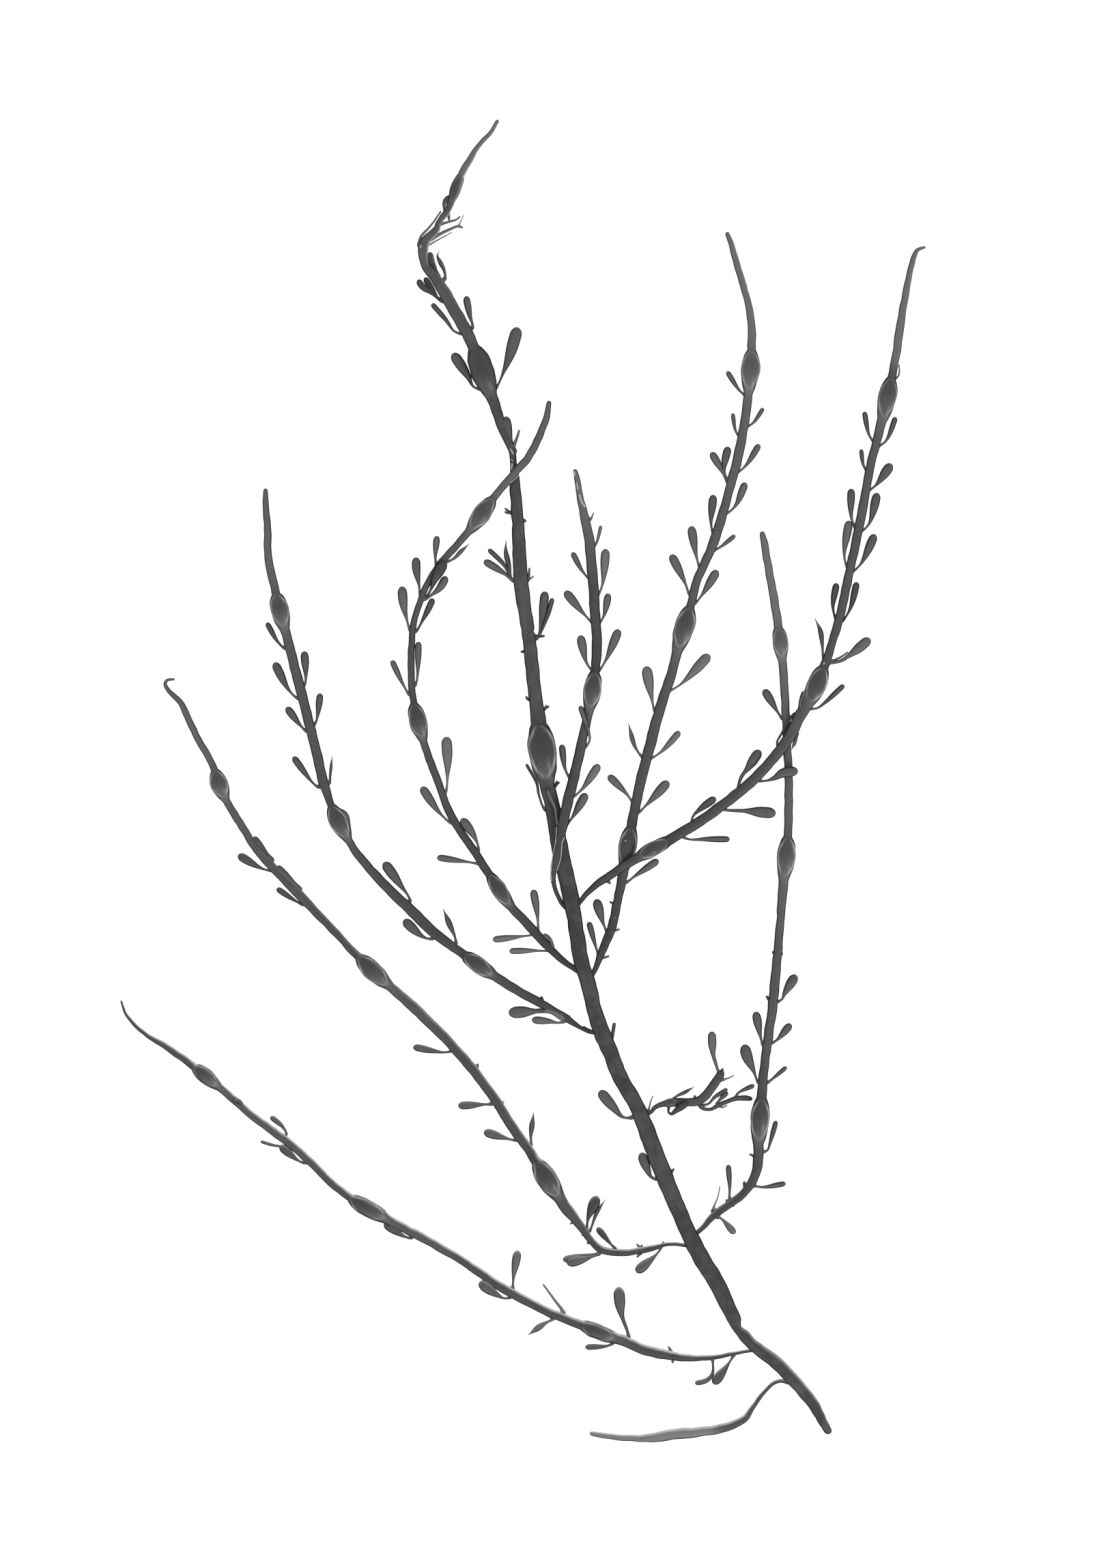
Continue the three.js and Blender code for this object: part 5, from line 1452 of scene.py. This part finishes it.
@dataclass
class Frond:
    """The whole frond: the main stem and the branches that grow from it.

    Attributes:
        stem: The main stem.
        branches: Straps that grow from it.
    """

    stem: Strap
    branches: list[Strap]

    def grow(self) -> None:
        """Build and dress every strap with what grows on it."""
        sweep = Sweep()
        stem_finish = STEM_TISSUE.material()
        strap_finish = STRAP_TISSUE.material()
        worn_finish = WORN_TISSUE.material()
        receptacle_finish = RECEPTACLE_TISSUE.material()
        fold_finish = FOLD_TISSUE.material()
        trunk = self.stem.ribbon(root_height=0.0)
        self.dress(sweep, self.stem, trunk, stem_finish, receptacle_finish, fold_finish)
        for branch in self.branches:
            seat = trunk.centre[nearest(trunk.centre, *branch.route[0][:2])]
            ribbon = branch.ribbon(root_height=float(seat[2]))
            finish = worn_finish if branch.worn else strap_finish
            self.dress(sweep, branch, ribbon, finish, receptacle_finish, fold_finish)

    def dress(
        self,
        sweep: Sweep,
        strap: Strap,
        ribbon: Ribbon,
        finish: bpy.types.Material,
        shoot_finish: bpy.types.Material,
        fold_finish: bpy.types.Material,
    ) -> None:
        """Make a strap's pieces and set them on the body.

        Args:
            sweep: The tree that sweeps them.
            strap: The strap.
            ribbon: Its measures along its route.
            finish: Finish of the strap.
            shoot_finish: Finish of what grows on it.
            fold_finish: Finish of its folds.
        """
        straps = [ribbon]
        shoots = [shoot.ribbon(ribbon, strap.shade) for shoot in strap.shoots]
        if strap.twig is not None:
            twig = strap.twig.ribbon(root_height=0.0)
            straps.append(twig)
            shoots += [shoot.ribbon(twig, strap.shade) for shoot in strap.twig.shoots]
        piece = sweep.piece(f"{strap.name}_strap", straps, finish, STRAP_SIDES)
        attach(piece, BODY)
        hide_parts(strap.name)
        LOG.info("%s: %d faces", piece.name, len(piece.data.polygons))
        if shoots:
            small = sweep.piece(f"{strap.name}_receptacles", shoots, shoot_finish, SHOOT_SIDES)
            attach(small, BODY)
            LOG.info("%s: %d shoots, %d faces", small.name, len(shoots), len(small.data.polygons))
        if strap.folds:
            folds = [shoot.ribbon(ribbon, strap.shade) for shoot in strap.folds]
            edging = sweep.piece(f"{strap.name}_folds", folds, fold_finish, SHOOT_SIDES)
            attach(edging, BODY)
            LOG.info("%s: %d folds", edging.name, len(folds))


@dataclass(frozen=True)
class SoftLight:
    """A soft light that faces the frond.

    Attributes:
        name: Its name.
        place: x, y and z in millimetres.
        size: Its width and height, in millimetres.
        power: Watts.
    """

    name: str
    place: tuple[float, float, float]
    size: tuple[float, float]
    power: float

    def hang(self, target: Vector) -> None:
        """Make the light and turn it to a point.

        Args:
            target: Point that it faces, in metres.
        """
        lamp = bpy.data.lights.new(self.name, "AREA")
        lamp.shape = "RECTANGLE"
        lamp.size, lamp.size_y = (side * MM for side in self.size)
        lamp.energy = self.power
        made = bpy.data.objects.new(self.name, lamp)
        made.location = Vector(self.place) * MM
        made.rotation_euler = (target - made.location).to_track_quat("-Z", "Y").to_euler()
        bpy.context.scene.collection.objects.link(made)


@dataclass(frozen=True)
class Studio:
    """White floor, soft light and a camera that looks straight down.

    Attributes:
        floor_size: Side of the floor, in millimetres.
        floor_white: Colour of the floor.
        floor_roughness: Roughness of its paper.
        floor_shine: Strength of its reflections.
        floor_glow: Light that the floor gives by itself, as a light table does.
        horizon_strength: Strength of the white surroundings at the horizon.
        zenith_strength: Strength of the white surroundings overhead.
        lights: Soft lights.
        view_middle: x and y under the camera, in millimetres.
        view_height: Height of the picture on the frond, in millimetres.
        view_level: Height above the surface at which that holds, in millimetres.
        lens: Focal length, in millimetres.
        sensor: Long side of the sensor, in millimetres.
    """

    floor_size: float = 12000.0
    floor_white: str = "F2F2F2"
    floor_roughness: float = 0.9
    floor_shine: float = 0.1
    floor_glow: float = 0.8
    horizon_strength: float = 1.0
    zenith_strength: float = 0.45
    lights: tuple[SoftLight, ...] = (
        SoftLight("foot_strip_light", (-400.0, -5200.0, 2800.0), (8800.0, 2800.0), 120.0),
        SoftLight("low_right_light", (800.0, -800.0, 700.0), (320.0, 320.0), 5.5),
    )
    view_middle: tuple[float, float] = (12.9, -1.3)
    view_height: float = 688.8
    view_level: float = 3.0
    lens: float = 100.0
    sensor: float = 36.0

    def set_up(self) -> None:
        """Build the floor, the lights and the camera."""
        scene = bpy.context.scene
        scene.view_settings.view_transform = "Standard"
        world = bpy.data.worlds.new("white_surround")
        world.use_nodes = True
        air = world.node_tree
        air.nodes.clear()

        # White surroundings, brightest at the horizon and dark below the floor.
        direction = add_node(air, "ShaderNodeTexCoord", {}).outputs["Generated"]
        height = add_node(air, "ShaderNodeSeparateXYZ", {0: direction}).outputs["Z"]
        strength = add_node(air, "ShaderNodeMapRange", {
            0: height, 3: self.horizon_strength, 4: self.zenith_strength,
        }).outputs[0]
        above = add_node(air, "ShaderNodeMath", {0: height, 1: 0.0}, operation="GREATER_THAN").outputs[0]
        strength = add_node(air, "ShaderNodeMath", {0: strength, 1: above}, operation="MULTIPLY").outputs[0]
        sky = add_node(air, "ShaderNodeBackground", {"Color": WHITE, "Strength": strength})
        add_node(air, "ShaderNodeOutputWorld", {"Surface": sky.outputs[0]})
        scene.world = world

        # The floor is matt white paper that glows a little, as on a light table.
        half = self.floor_size / 2.0 * MM
        corners = [(-half, -half, 0.0), (half, -half, 0.0), (half, half, 0.0), (-half, half, 0.0)]
        sheet = bpy.data.meshes.new("white_floor")
        sheet.from_pydata(corners, [], [(0, 1, 2, 3)])
        paint = bpy.data.materials.new("matt_white_paper")
        paint.use_nodes = True
        paper = paint.node_tree.nodes["Principled BSDF"]
        paper.inputs["Base Color"].default_value = linear(self.floor_white)
        paper.inputs["Roughness"].default_value = self.floor_roughness
        paper.inputs["Specular IOR Level"].default_value = self.floor_shine
        paper.inputs["Emission Color"].default_value = WHITE
        paper.inputs["Emission Strength"].default_value = self.floor_glow
        sheet.materials.append(paint)
        floor = bpy.data.objects.new("white_floor", sheet)
        floor.location.z = -FLOOR_GAP * MM
        floor.visible_glossy = False
        scene.collection.objects.link(floor)

        middle = Vector((*self.view_middle, self.view_level)) * MM
        for light in self.lights:
            light.hang(middle)
        camera = bpy.data.cameras.new("overhead_camera")
        camera.lens = self.lens
        camera.sensor_width = self.sensor
        eye = bpy.data.objects.new("overhead_camera", camera)
        eye.location = middle + Vector((0.0, 0.0, self.view_height * self.lens / self.sensor * MM))
        scene.collection.objects.link(eye)
        scene.camera = eye


def main() -> None:
    """Build the studio and the frond."""
    logging.basicConfig(level=logging.INFO, format="%(name)s: %(message)s")
    Studio().set_up()
    Frond(MAIN_STEM, BRANCHES).grow()


if __name__ == "__main__":
    main()
